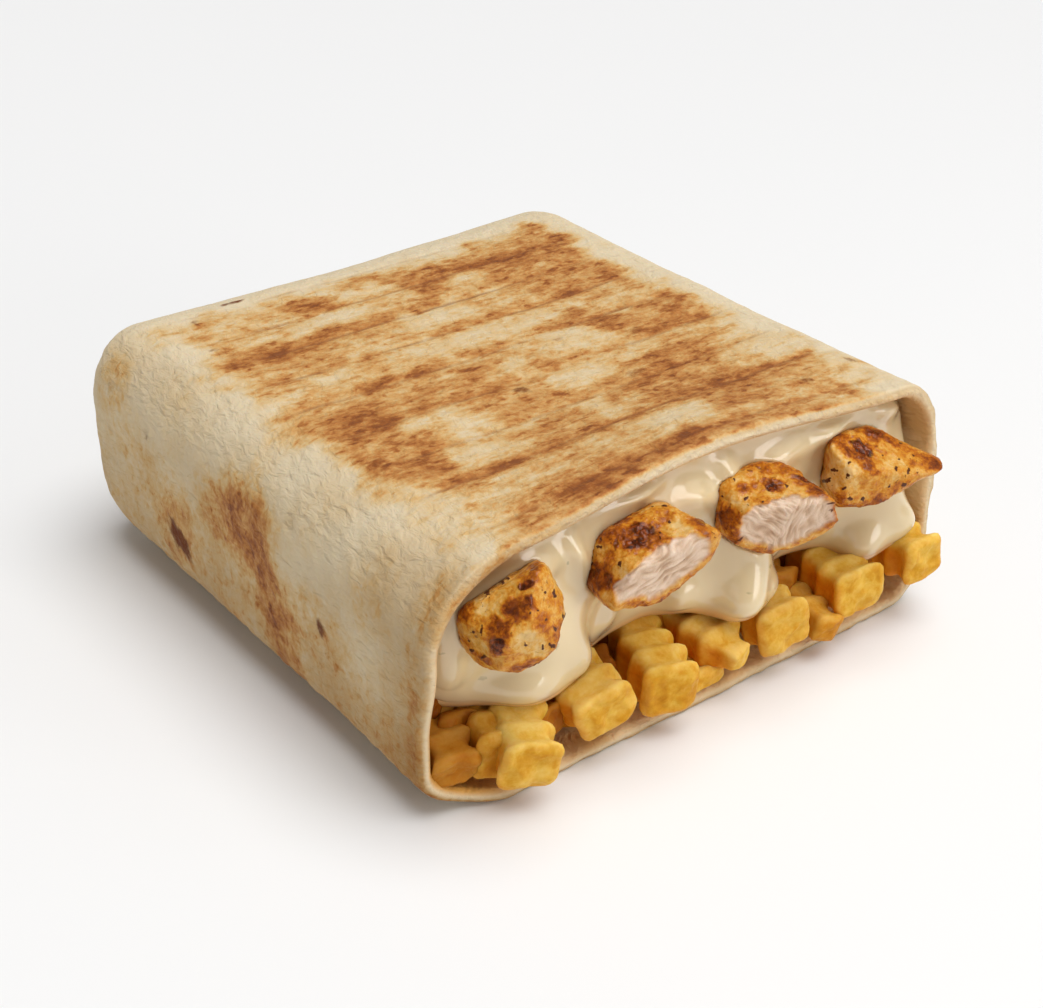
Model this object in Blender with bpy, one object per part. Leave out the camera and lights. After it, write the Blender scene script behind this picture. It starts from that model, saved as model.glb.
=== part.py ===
"""French tacos: a flour tortilla folded into a flat parcel and pressed, with one end cut open.

The open end, the mouth, faces -Y and the parcel rests on Z = 0. The mouth shows crinkle-cut
fries at the bottom, a thick pale sauce above them that hangs over their tips in soft lobes,
and four pieces of grilled chicken set in the sauce. Fries and sauce run through to the back.
All lengths are in metres, all angles in degrees.
"""

import math

import bmesh
import bpy
import numpy as np
from mathutils import Euler, Matrix, Vector, noise

# The parcel
WIDTH = 0.130
LENGTH = 0.136
HEIGHT = 0.054
WALL = 0.0028
MOUTH_Y = -LENGTH / 2
BACK_Y = LENGTH / 2
GAP = 0.0003
FILLING_GAP = 0.0008

# Radii (across, up) of the parcel's four long edges, at its mouth and at its back
LONG_EDGES = (
    ((-1, 0), (0.020, 0.011), (0.020, 0.018)),
    ((1, 0), (0.009, 0.012), (0.010, 0.011)),
    ((1, 1), (0.013, 0.020), (0.007, 0.010)),
    ((-1, 1), (0.021, 0.017), (0.012, 0.017)),
)
BACK_ROUNDING = 0.017
BACK_INSET_LEFT = 0.0105
BACK_INSET_RIGHT = 0.007
BACK_INSET_BOTTOM = 0.012
BACK_INSET_TOP = 0.013
BACK_INSET_TOP_SLOPE = -0.0045
EDGE_TIGHTENING = 0.45
SKIN_ROUNDING = 0.7

# The slack of the soft wrap
ROOF_SWELL = 0.0030
ROOF_SET_BACK = 0.0030
ROOF_CENTRE_X = -0.006
ROOF_HALF_WIDTH = 0.056
MOUTH_REACH = 0.042
ROOF_SAG = 0.0010
SIDE_WAIST = 0.0008

# Press lines across the roof
LINE_YS = (-0.0446, -0.0312, -0.0169, -0.0022, 0.0112, 0.0240, 0.0370, 0.0490)
LINE_DEPTH = 0.0004
LINE_HALF_WIDTH = 0.0016
LINE_REACH_X = 0.052
LINE_FADE_X = 0.008
LINE_LOWEST_Z = 0.8 * HEIGHT

# How finely the wrap is divided
EDGE_STEPS = 5
RUN_STEPS = (8, 4, 14, 4)
LIP_STEPS = 5
BACK_STEPS = 5
INNER_STEPS = 4

# The sauce: its floor, its swollen face, and the lobes that hang over the fries.
# Each lobe has its centre, half width, reach towards the front and droop
SAUCE_FLOOR = 0.0160
SAUCE_EDGE_Y = -0.0565
SAUCE_TOP_RECESS = 0.0035
SAUCE_SIDE_RECESS = 0.0025
SAUCE_SIDE_START = 0.040
SAUCE_SIDE_SPAN = 0.022
SAUCE_CORNER_LIFT = 0.0050
SAUCE_CORNER = 0.0090
SAUCE_LIP = 0.0022
SAUCE_BULGE = 0.0030
SAUCE_HEEL = 0.0005
SAUCE_HANG_REACH = 0.004
SAUCE_LOBES = (
    (-0.035, 0.0120, 0.0086, 0.0004),
    (0.012, 0.0095, 0.0124, 0.0006),
    (0.051, 0.0100, 0.0105, 0.0002),
)
SAUCE_STATIONS = 34
FACE_STEPS = 8
LIP_ARC_STEPS = 3

# The filling's inner ends
FILLING_BACK_Y = 0.057
FILLING_BACK_CORNER = 0.010
FILLING_RUN_Y = (0.050, 0.020, -0.015, -0.035, -0.050)
CORE_FRONT_Y = -0.0555
CORE_WAVE = 0.0008
CORE_WAVE_LENGTH = 0.004
CORE_STATIONS = 16
CORE_HALF_WIDTH = 0.0595
SIDE_CROWDING = 0.45

# Crinkle-cut fries: the centre of each tip, then yaw, pitch and roll, width, height and point
RIDGE_PITCH = 0.0075
RIDGE_DEPTH = 0.0006
FRY_ROOT_Y = -0.049
FRY_CHAMFER = 0.0010
FRY_TIP_SHRINK = 0.22
FRY_POINT_REACH = 0.008
FRY_HALF_RIDGES = 3
FRIES = (
    ((-0.0477, -0.0730, 0.0103), (-16, 5, 12), 0.0089, 0.0090, 0.0),
    ((-0.0551, -0.0636, 0.0126), (-6, 2, 25), 0.0066, 0.0086, 0.0),
    ((-0.0545, -0.0605, 0.0132), (-8, -4, 6), 0.0080, 0.0052, 0.0),
    ((-0.0365, -0.0662, 0.0113), (8, 2, -6), 0.0080, 0.0050, 0.0),
    ((-0.0286, -0.0720, 0.0126), (-10, 3, -24), 0.0100, 0.0069, 0.0),
    ((-0.0127, -0.0725, 0.0113), (-16, 1, 3), 0.0097, 0.0091, 0.0),
    ((0.0060, -0.0725, 0.0112), (4, 4, -4), 0.0095, 0.0075, 0.6),
    ((0.0005, -0.0685, 0.0066), (6, 2, 0), 0.0080, 0.0035, 0.0),
    ((0.0183, -0.0718, 0.0112), (-9, 3, -10), 0.0100, 0.0084, 0.0),
    ((0.0296, -0.0735, 0.0074), (-4, 12, 20), 0.0075, 0.0062, 0.4),
    ((0.0400, -0.0724, 0.0127), (-6, -4, -4), 0.0102, 0.0082, 0.0),
    ((0.0570, -0.0743, 0.0141), (5, 0, -4), 0.0086, 0.0078, 0.0),
)

# Chicken: rough lumps bounded by flat facets, seen turned and tilted from the front left.
# Each lump has its centre, then its facets: angle round the view, lean towards it, distance in mm
CHICKEN_YAW = -38.0
CHICKEN_TILT = 30.0
CHICKEN_CRISPNESS = 14
CHICKEN = (
    ((-0.0479, -0.0705, 0.0417), (
        (120, 5, 6.3), (33, -5, 8.6), (-15, -5, 7.5), (-55, -5, 8.1), (-92, -5, 9.1),
        (-135, -5, 10.6), (180, 0, 10.2), (142, 55, 7.6), (5, 38, 8.3), (-62, 46, 8.6),
        (-145, 32, 9.0), (0, -90, 9.0),
    )),
    ((-0.0178, -0.0702, 0.0412), (
        (115, 5, 8.6), (62, 0, 10.7), (-20, 0, 10.7), (-50, -15, 6.9), (-90, -10, 7.7),
        (-140, 0, 11.3), (160, 0, 10.6), (-52, 38, 6.0), (98, 52, 7.4), (175, 42, 9.3),
        (0, -90, 9.0),
    )),
    ((0.0124, -0.0687, 0.0400), (
        (122, 0, 9.2), (90, 0, 9.6), (52, 0, 9.9), (18, 0, 12.4), (-55, -10, 9.6),
        (-82, -10, 7.9), (-120, -5, 7.5), (180, 0, 9.1), (-78, 42, 6.2), (90, 50, 7.6),
        (188, 42, 9.6), (0, -90, 9.0),
    )),
    ((0.0372, -0.0679, 0.0402), (
        (135, 0, 7.6), (105, 0, 7.7), (62, 0, 10.4), (-58, 0, 8.8), (-88, 0, 7.1),
        (-150, 0, 5.8), (178, 0, 5.2), (-155, 42, 7.6), (62, 46, 6.6), (-62, 50, 7.4),
        (0, -90, 8.5),
    )),
)
FACET_UNIT = 0.001
CHICKEN_RELIEF = 0.0005
CHICKEN_GRAIN = 0.006
CHICKEN_GRAIN_START = 1000
CHICKEN_FINENESS = 3

COLOURS = {
    "tortilla": ((0.72, 0.56, 0.34), 0.75),
    "sauce": ((0.74, 0.61, 0.41), 0.25),
    "fries": ((0.78, 0.46, 0.11), 0.60),
    "chicken": ((0.52, 0.27, 0.09), 0.55),
}


def clear_scene():
    for old in list(bpy.data.objects):
        bpy.data.objects.remove(old, do_unlink=True)


def smooth(value):
    """A soft step from 0 to 1."""
    value = min(max(value, 0.0), 1.0)
    return value * value * (3 - 2 * value)


def material(kind):
    """One Principled material for each sub-part."""
    colour, roughness = COLOURS[kind]
    made = bpy.data.materials.new(kind)
    made.use_nodes = True
    shader = made.node_tree.nodes["Principled BSDF"]
    shader.inputs["Base Color"].default_value = (*colour, 1.0)
    shader.inputs["Roughness"].default_value = roughness
    shader.inputs["Metallic"].default_value = 0.0
    made.diffuse_color = (*colour, 1.0)
    return made


def add_object(name, points, faces, kind):
    """A closed mesh object whose faces point out."""
    mesh = bpy.data.meshes.new(name)
    mesh.from_pydata([tuple(point) for point in points], [], faces)
    work = bmesh.new()
    work.from_mesh(mesh)
    bmesh.ops.recalc_face_normals(work, faces=work.faces)
    work.to_mesh(mesh)
    work.free()
    mesh.materials.append(material(kind))
    made = bpy.data.objects.new(name, mesh)
    bpy.context.scene.collection.objects.link(made)
    return made


def loft(rings):
    """Points and faces of a tube through equal closed rings, capped at both ends."""
    count = len(rings[0])
    points = [point for ring in rings for point in ring]
    faces = []
    for level in range(len(rings) - 1):
        for step in range(count):
            here = level * count + step
            beside = level * count + (step + 1) % count
            faces.append((here, beside, beside + count, here + count))
    faces.append(tuple(range(count)))
    faces.append(tuple(range(len(points) - count, len(points))))
    return points, faces


def pinch(y, skin):
    """How far the back end has closed in at y, from 0 to 1, on the surface `skin` inside."""
    turn = (y - (BACK_Y - BACK_ROUNDING)) / (BACK_ROUNDING - skin)
    turn = min(max(turn, 0.0), 1.0)
    return 1 - math.sqrt(1 - turn * turn)


def sides(y, skin):
    """Left, right and bottom of the parcel's section at y, `skin` inside its outer face."""
    closed = pinch(y, skin)
    left = -WIDTH / 2 + skin + closed * (BACK_INSET_LEFT - skin)
    right = WIDTH / 2 - skin - closed * (BACK_INSET_RIGHT - skin)
    bottom = skin + closed * (BACK_INSET_BOTTOM - skin)
    return left, right, bottom


def roof(x, y, skin):
    """Height of the flat roof over x and y, before its edges round off."""
    inset = BACK_INSET_TOP + BACK_INSET_TOP_SLOPE * x / (WIDTH / 2)
    return HEIGHT - skin - pinch(y, skin) * (inset - skin)


def edge_radii(index, y, skin):
    """Radii of one long edge at y, `skin` inside the outer face."""
    _, mouth, back = LONG_EDGES[index]
    along = min(max((y - MOUTH_Y) / LENGTH, 0.0), 1.0)
    keep = 1 - EDGE_TIGHTENING * pinch(y, skin)
    return [keep * (a + (b - a) * along - SKIN_ROUNDING * skin) for a, b in zip(mouth, back)]


def section(y, skin):
    """The closed loop of (x, z) round the parcel at y, `skin` inside its outer face."""
    left, right, bottom = sides(y, skin)
    arcs = []
    for index, ((side, level), _, _) in enumerate(LONG_EDGES):
        across, up = edge_radii(index, y, skin)
        centre_x = left + across if side < 0 else right - across
        rim = roof(centre_x, y, skin) if level else bottom
        centre_z = rim - up if level else rim + up
        start = math.radians(180 + 90 * index)
        arc = []
        for step in range(EDGE_STEPS + 1):
            angle = start + math.radians(90) * step / EDGE_STEPS
            arc.append((centre_x + across * math.cos(angle), centre_z + up * math.sin(angle)))
        arcs.append(arc)
    loop = []
    for index, arc in enumerate(arcs):
        loop += arc
        following = arcs[(index + 1) % 4][0]
        for step in range(1, RUN_STEPS[index]):
            part = step / RUN_STEPS[index]
            loop.append(tuple(a + (b - a) * part for a, b in zip(arc[-1], following)))
    return loop


def height_span(x, y, skin):
    """Lowest and highest z inside the parcel over x and y, `skin` inside its outer face."""
    left, right, low = sides(y, skin)
    high = roof(x, y, skin)
    for index, ((side, level), _, _) in enumerate(LONG_EDGES):
        across, up = edge_radii(index, y, skin)
        past = (left + across - x) if side < 0 else (x - (right - across))
        if past <= 0:
            continue
        drop = up * (1 - math.sqrt(max(1 - (past / across) ** 2, 0.0)))
        if level:
            high -= drop
        else:
            low += drop
    return low, high


def settle(x, y, z):
    """A point of the stiff parcel moved to where the soft one has it."""
    up = min(max(z / HEIGHT, 0.0), 1.0)
    near_mouth = smooth(1 - (y - MOUTH_Y) / MOUTH_REACH)
    across = min(abs(x - ROOF_CENTRE_X) / ROOF_HALF_WIDTH, 1.0)
    crown = math.cos(across * math.pi / 2) ** 2
    lift = ROOF_SWELL * near_mouth * crown
    sag = ROOF_SAG * (1 - near_mouth) * math.cos(min(abs(x) / (WIDTH / 2), 1.0) * math.pi / 2)
    waist = SIDE_WAIST * math.cos(math.pi * (y / LENGTH)) * x / (WIDTH / 2)
    set_back = ROOF_SET_BACK * near_mouth ** 3 * crown * up ** 2
    return x - waist, y + set_back, z + (lift - sag) * up


def press_line(x, y, z):
    """How far a press line sinks the roof at a point."""
    if z < LINE_LOWEST_Z:
        return 0.0
    off = min(abs(y - line) for line in LINE_YS) / LINE_HALF_WIDTH
    return LINE_DEPTH * smooth(1 - off) * smooth((LINE_REACH_X - abs(x)) / LINE_FADE_X)


def wrap_ring(y, skin):
    ring = []
    for x, z in section(y, skin):
        sink = press_line(x, y, z) if skin == 0 else 0.0
        ring.append(settle(x, y, z - sink))
    return ring


def build_tortilla():
    """The folded wrap: outer face, rounded lip round the mouth, inner face, closed back."""
    outer = {MOUTH_Y + WALL / 2, BACK_Y - BACK_ROUNDING}
    for line in LINE_YS:
        outer.update((line - LINE_HALF_WIDTH, line, line + LINE_HALF_WIDTH))
    outer = sorted((y for y in outer if y <= BACK_Y - BACK_ROUNDING), reverse=True)
    rings = []
    for step in range(BACK_STEPS):
        angle = math.radians(90) * (1 - step / BACK_STEPS)
        y = BACK_Y - BACK_ROUNDING * (1 - math.sin(angle))
        rings.append(wrap_ring(y, 0))
    rings += [wrap_ring(y, 0) for y in outer]
    for step in range(1, LIP_STEPS):
        angle = math.pi * step / LIP_STEPS
        skin = WALL / 2 * (1 - math.cos(angle))
        rings.append(wrap_ring(MOUTH_Y + WALL / 2 * (1 - math.sin(angle)), skin))
    inner_end = BACK_Y - BACK_ROUNDING
    for step in range(INNER_STEPS + 1):
        y = MOUTH_Y + WALL / 2 + (inner_end - MOUTH_Y - WALL / 2) * step / INNER_STEPS
        rings.append(wrap_ring(y, WALL))
    for step in range(1, BACK_STEPS + 1):
        angle = math.radians(90) * step / BACK_STEPS
        y = inner_end + (BACK_ROUNDING - WALL) * math.sin(angle)
        rings.append(wrap_ring(y, WALL))
    return add_object("tortilla", *loft(rings), "tortilla")


def filling_back(x):
    """Where the filling ends towards the back, drawn in near the sides."""
    side = WIDTH / 2 - WALL - FILLING_GAP
    past = max(abs(x) - (side - FILLING_BACK_CORNER), 0.0) / FILLING_BACK_CORNER
    return FILLING_BACK_Y - FILLING_BACK_CORNER * (1 - math.sqrt(max(1 - past * past, 0.0)))


def filling_runs(x):
    """The y values along the filling from its back end towards the mouth."""
    back = filling_back(x)
    span = back - FILLING_RUN_Y[0]
    return [back] + [y + min(span, 0.0) * (y > 0) for y in FILLING_RUN_Y]


def stations(count, half_width):
    """Places across the parcel, closer together towards its rounded sides."""
    angles = np.linspace(-1, 1, count)
    even = 1 - SIDE_CROWDING
    return [half_width * (even * t + SIDE_CROWDING * math.sin(t * math.pi / 2)) for t in angles]


def lobes(x):
    """How far the sauce's lobes reach out over the fries at x, and how far they droop."""
    strengths = [math.exp(-((x - lobe[0]) / lobe[1]) ** 2) for lobe in SAUCE_LOBES]
    reach = max(strength * lobe[2] for strength, lobe in zip(strengths, SAUCE_LOBES))
    droop = max(strength * lobe[3] for strength, lobe in zip(strengths, SAUCE_LOBES))
    return reach, droop


def sauce_slice(x):
    """One closed section of the sauce across the parcel at x, as points (y, z)."""
    skin = WALL + FILLING_GAP
    runs = filling_runs(x)
    top = [(y, height_span(x, y, skin)[1]) for y in runs]
    side = smooth((x - SAUCE_SIDE_START) / SAUCE_SIDE_SPAN)
    face_y = MOUTH_Y + SAUCE_TOP_RECESS + SAUCE_SIDE_RECESS * side
    face_z = height_span(x, face_y, skin)[1]
    reach, droop = lobes(x)
    edge_y = SAUCE_EDGE_Y - reach
    hanging = smooth((CORE_FRONT_Y - SAUCE_LIP - CORE_WAVE - edge_y) / SAUCE_HANG_REACH)
    corner = smooth((abs(x) - WIDTH / 2 + WALL + SAUCE_CORNER) / SAUCE_CORNER)
    edge_z = SAUCE_FLOOR - droop * hanging + SAUCE_CORNER_LIFT * corner
    turn_z = edge_z + SAUCE_LIP
    face = []
    for step in range(FACE_STEPS + 1):
        part = step / FACE_STEPS
        y = face_y + (edge_y - face_y) * smooth(part) - SAUCE_BULGE * math.sin(math.pi * part)
        face.append((y, face_z + (turn_z - face_z) * part))
    for step in range(1, LIP_ARC_STEPS + 1):
        angle = math.radians(90) * step / LIP_ARC_STEPS
        out = SAUCE_LIP * (1 - math.cos(angle))
        face.append((edge_y + out, turn_z - SAUCE_LIP * math.sin(angle)))
    heel_y = max(edge_y + SAUCE_LIP + SAUCE_HEEL, CORE_FRONT_Y - 2 * CORE_WAVE)
    face.append((heel_y, SAUCE_FLOOR))
    floor = [(y, max(SAUCE_FLOOR, height_span(x, y, skin)[0])) for y in reversed(runs)]
    return top + face + floor


def core_slice(x):
    """One closed section of the heap of fries behind the mouth at x, as points (y, z)."""
    skin = WALL + FILLING_GAP
    runs = filling_runs(x)
    front = CORE_FRONT_Y + CORE_WAVE * math.sin(x / CORE_WAVE_LENGTH)
    low = [(y, height_span(x, y, skin)[0]) for y in runs + [front]]
    high = [(y, SAUCE_FLOOR - GAP) for y in [front] + runs[::-1]]
    return low + high


def build_sliced(name, slicer, count, half_width):
    """A filling layer lofted through its slices from the left to the right."""
    rings = []
    for x in stations(count, half_width):
        rings.append([settle(x, y, z) for y, z in slicer(x)])
    return add_object(name, *loft(rings), name)


def fry_sections(length, point):
    """Along a fry from its tip: how far in, how much its ridges add, and its share of size."""
    sections = [(0.0, RIDGE_DEPTH, (1 - FRY_TIP_SHRINK) * (1 - point))]
    for step in range(max(int(round(2 * length / RIDGE_PITCH)), FRY_HALF_RIDGES) + 1):
        along = step * RIDGE_PITCH / 2
        swell = RIDGE_DEPTH * (-1 if step % 2 else 1)
        share = 1 - point * smooth(1 - along / FRY_POINT_REACH)
        sections.append((along + FRY_CHAMFER, swell, share))
    return sections


def build_fry(index, spec, grow=0.0):
    """One crinkle-cut fry: a bar with ridges across it, from its tip back into the heap."""
    tip, turn, width, height, point = spec
    length = (FRY_ROOT_Y - tip[1]) / math.cos(math.radians(turn[0]))
    frame = Euler([math.radians(turn[1]), math.radians(turn[2]), math.radians(turn[0])], "XYZ")
    place = Matrix.Translation(tip) @ frame.to_matrix().to_4x4()
    corners = ((-1, -1), (1, -1), (1, 1), (-1, 1))
    rings = []
    for along, swell, share in fry_sections(length, point):
        half_w = (width / 2 + swell) * share + grow
        half_h = (height / 2 + swell) * share + grow
        along += grow * (2 * along / length - 1)
        rings.append([place @ Vector((a * half_w, along, b * half_h)) for a, b in corners])
    name = f"fry_{index}" if grow == 0 else f"groove_{index}"
    return add_object(name, *loft(rings), "fries")


def unite(base, pieces):
    """Fuse the pieces onto the base by one Boolean over a collection."""
    group = bpy.data.collections.new("pieces")
    bpy.context.scene.collection.children.link(group)
    for piece in pieces:
        bpy.context.scene.collection.objects.unlink(piece)
        group.objects.link(piece)
    union = base.modifiers.new("union", "BOOLEAN")
    union.operation = "UNION"
    union.operand_type = "COLLECTION"
    union.collection = group
    union.solver = "EXACT"
    union.use_self = True
    apply_modifiers(base)
    for piece in pieces:
        bpy.data.objects.remove(piece, do_unlink=True)
    bpy.data.collections.remove(group)
    drop_scraps(base)


def drop_scraps(target):
    """Keep the largest connected skin, so that sealed hollows fill and loose scraps go."""
    work = bmesh.new()
    work.from_mesh(target.data)
    unseen = set(work.verts)
    skins = []
    while unseen:
        skin = []
        front = [unseen.pop()]
        while front:
            vertex = front.pop()
            skin.append(vertex)
            for edge in vertex.link_edges:
                other = edge.other_vert(vertex)
                if other in unseen:
                    unseen.remove(other)
                    front.append(other)
        skins.append(skin)
    skins.sort(key=len)
    for skin in skins[:-1]:
        bmesh.ops.delete(work, geom=skin, context="VERTS")
    work.to_mesh(target.data)
    work.free()


def apply_modifiers(target):
    """Replace the object's mesh by its evaluated one."""
    graph = bpy.context.evaluated_depsgraph_get()
    made = bpy.data.meshes.new_from_object(target.evaluated_get(graph))
    target.modifiers.clear()
    target.data = made


def carve(target, cutters):
    """Cut each cutter's shape out of the target, then remove the cutters."""
    for cutter in cutters:
        cut = target.modifiers.new("cut", "BOOLEAN")
        cut.operation = "DIFFERENCE"
        cut.object = cutter
        cut.solver = "EXACT"
        apply_modifiers(target)
        bpy.data.objects.remove(cutter, do_unlink=True)


def lump_reach(direction, facets):
    """Distance from a lump's centre to its rounded, many-sided surface along a direction."""
    total = 0.0
    for around, lean, distance in facets:
        around = math.radians(around)
        lean = math.radians(lean)
        across = math.cos(around) * math.cos(lean)
        up = math.sin(around) * math.cos(lean)
        facet = Vector((across, -math.sin(lean), up))
        total += max(direction.dot(facet) / (distance * FACET_UNIT), 0.0) ** CHICKEN_CRISPNESS
    return total ** (-1 / CHICKEN_CRISPNESS)


def chicken_points(spec, grow):
    """The points and triangles of one lump, grown outwards by `grow`."""
    centre, facets = spec
    tilt = Matrix.Rotation(math.radians(-CHICKEN_TILT), 3, "X")
    turned = Matrix.Rotation(math.radians(CHICKEN_YAW), 3, "Z") @ tilt
    work = bmesh.new()
    bmesh.ops.create_icosphere(work, subdivisions=CHICKEN_FINENESS, radius=1.0)
    points = []
    for vertex in work.verts:
        direction = vertex.co.normalized()
        reach = lump_reach(direction, facets)
        spot = direction * reach / CHICKEN_GRAIN + Vector(centre) * CHICKEN_GRAIN_START
        reach += CHICKEN_RELIEF * noise.noise(spot) + grow
        points.append(turned @ (direction * reach) + Vector(centre))
    faces = [tuple(vertex.index for vertex in face.verts) for face in work.faces]
    work.free()
    return points, faces


def build_chicken(index, spec, grow=0.0):
    name = f"chicken_{index}" if grow == 0 else f"pocket_{index}"
    return add_object(name, *chicken_points(spec, grow), "chicken")


def main():
    clear_scene()
    build_tortilla()
    sauce = build_sliced("sauce", sauce_slice, SAUCE_STATIONS, WIDTH / 2 - WALL - FILLING_GAP)
    fries = build_sliced("fries", core_slice, CORE_STATIONS, CORE_HALF_WIDTH)
    unite(fries, [build_fry(index, spec) for index, spec in enumerate(FRIES, 1)])
    for index, spec in enumerate(CHICKEN, 1):
        build_chicken(index, spec)
    carve(sauce, [build_chicken(i, spec, GAP * 2) for i, spec in enumerate(CHICKEN, 1)])
    carve(sauce, [build_fry(i, spec, GAP) for i, spec in enumerate(FRIES, 1)])
    drop_scraps(sauce)


main()
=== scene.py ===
"""The looks of the french tacos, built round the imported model.

A pressed and toasted tortilla with thin dark press lines, a glossy sauce that wells up round
the chicken and hangs over the fries, crinkle-cut fries, and grilled chicken with char, herbs
and torn fibres. Shapes are worked out in millimetres, in the frame of the model.
"""

import math
from types import SimpleNamespace

import bmesh
import bpy
import numpy as np
from mathutils import Euler, Matrix, Vector


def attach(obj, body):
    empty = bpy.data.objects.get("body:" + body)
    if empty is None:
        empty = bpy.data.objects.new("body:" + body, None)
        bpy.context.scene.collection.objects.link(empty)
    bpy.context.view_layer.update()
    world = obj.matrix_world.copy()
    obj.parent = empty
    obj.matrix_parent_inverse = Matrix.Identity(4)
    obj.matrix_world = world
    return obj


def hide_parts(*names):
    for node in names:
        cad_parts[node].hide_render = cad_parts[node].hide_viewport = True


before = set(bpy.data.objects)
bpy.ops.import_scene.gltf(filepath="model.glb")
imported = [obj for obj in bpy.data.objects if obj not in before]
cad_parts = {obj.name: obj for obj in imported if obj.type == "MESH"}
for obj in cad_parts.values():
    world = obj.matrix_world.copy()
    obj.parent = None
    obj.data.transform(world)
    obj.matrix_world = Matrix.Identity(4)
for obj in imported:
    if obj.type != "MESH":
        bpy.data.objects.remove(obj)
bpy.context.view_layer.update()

SEED = 7
MM = 0.001

# The parcel, as in the model
WIDTH = 130
LENGTH = 136
HEIGHT = 54
WALL = 2.8
MOUTH_Y = -LENGTH / 2
BACK_Y = LENGTH / 2
FILLING_GAP = 0.8
# Long edges: left or right and low or high, then radii across and up at the mouth and the back
LONG_EDGES = (
    ((-1, 0), (20, 11), (20, 18)), ((1, 0), (9, 12), (10, 11)),
    ((1, 1), (13, 20), (7, 10)), ((-1, 1), (21, 17), (12, 17)),
)
BACK_ROUNDING = 17
BACK_INSET_LEFT = 10.5
BACK_INSET_RIGHT = 7
BACK_INSET_BOTTOM = 12
BACK_INSET_TOP = 13
BACK_INSET_TOP_SLOPE = -4.5
EDGE_TIGHTENING = 0.45
SKIN_ROUNDING = 0.7
ROOF_SWELL = 3
ROOF_SET_BACK = 3
LEFT_SET_BACK = 3
LOW_LEFT_ACROSS = (-46, 14)
LOW_LEFT_UP = (36, 18)
ROOF_CENTRE_X = 2
ROOF_HALF_WIDTH = 56
MOUTH_REACH = 42
ROOF_SAG = 1
SIDE_WAIST = 0.8

# The wrap's fineness
EDGE_STEPS = 22
RUN_STEPS = (100, 30, 100, 30)
RING_PITCH = 0.95
CAP_STEPS = 24
LIP_STEPS = 13
INNER_PITCH = 1.2
INNER_RINGS = 13
DEEP_RINGS = (-40, -25, 0, 25, 45, 51)
DEEP_BEND_STEPS = 5
PROBE_RING = 40
LIP_CLEARANCE = 0.3
FLOOR_GAP = 0.02

# Where the wrap changes; a pair is where a soft step starts or ends, and its span
FACING_UP = (0.55, 0.35)
FACING_LEFT = (0.25, 0.45)
INNER_SKIN = (1.3, 1.2)
TURNED_IN_WIDTH = 1.3
TURNED_IN_REACH = 2.5
TURNED_IN_UP = (34, 12)
TURNED_IN_RIGHT = (40, 15)
# Painted shade on the sides: where it grows towards the bottom and towards the mouth
PAINTED_SHADE_LOW = (34, 30)
PAINTED_SHADE_FRONT = (-40, 26)
# A painted glow of light bounced from the filling, on the inside at the left and low down
PAINTED_GLOW_LEFT = (-38, 20)
PAINTED_GLOW_LOW = (30, 22)
INNER_RELIEF = 0.3
BACK_CALM = 0.7
BACK_CALM_Y = (55, 13)
LIP_WAVE_REACH = 4

# Press lines across the wrap: where each lies along it, and how strongly it shows
PRESS_LINES = (
    (50.5, 0.35), (37, 0.8), (24, 1), (11.2, 0.85), (-2.2, 1), (-16.9, 0.75), (-31.2, 1), (-44.6, 0.9),
    (-60.5, 0.5),
)
LINE_DEPTH = 0.24
LINE_WIDTH = 0.75
LINE_RINGS = (-1.1, -0.65, -0.3, 0, 0.3, 0.65, 1.1)
LINE_CLEARANCE = 1.35
PRESSED_X = 1
PRESSED_HALF = (52, 8)
LAND_HEIGHT = 0.04
LAND_WIDTH = 6.5

# Toast on the roof as soft boxes: x from and to, y from and to, strength
TOAST = (
    (-26, -12, 37, 46, 0.75), (-16, 6, 43, 49, 0.65), (3, 10, 38, 47, 0.55), (9, 27, 37, 44, 0.8),
    (28, 50, 38, 52, 0.55), (4, 50, 29, 40, 0.7), (18, 46, 25, 37, 0.55), (-47, -28, 20, 29, 0.8),
    (-30, 8, 24, 28, 0.75), (-50, -43, 30, 36, 0.55), (-47, -24, 9, 22, 0.4), (24, 53, 10, 25, 0.62),
    (-6, 22, 11, 15.5, 0.62), (-32, -13, -3, 1, 0.7), (-8, 6, -2, 4, 0.68), (12, 28, -2, 3, 0.8),
    (-50, -35, -4, -40, 0.62), (-48, -35, -6, -22, 0.45), (-36, -7, -5, -17, 0.5), (25, 52, -3, -17, 0.72),
    (3, 12, -10, -15, 0.45), (-23, 0, -17, -31, 0.5), (-2, 52, -24, -31, 0.62), (10, 25, -25, -32, 0.5),
    (-54, -38, -30, -41, 0.45), (-20, 5, -34, -43, 0.5), (7, 32, -31, -43, 0.55), (-48, 51, -42, -46, 0.68),
    (13, 30, -45, -56, 0.7), (-13, 5, -56, -62, 0.55), (30, 41, -46, -57, 0.42), (-30, -12, -54, -65, 0.4),
    (-60, -50, 0, 12, 0.25),
)
TOAST_BASE = (-53, 50, -72, 49)
PALE = (
    (-11, 2, 38, 44), (-10, 10, 15, 24), (-14, 22, 2, 10), (8, 22, -2, -12), (0, 12, -17, -26),
    (-31, -9, 30, 37), (-40, -30, 4, 12), (38, 56, -25, -30), (40, 52, -32, -42), (-3, 13, -47, -56),
    (-64, -45, -44, -62), (-28, -18, -19, -30), (-38, -22, -32, -41), (12, 22, 29, 35), (-4, 3, -31, -42),
)
TOAST_SOFT = 3.2
PALE_SOFT = 7
BASE_SOFT = 9
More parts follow.
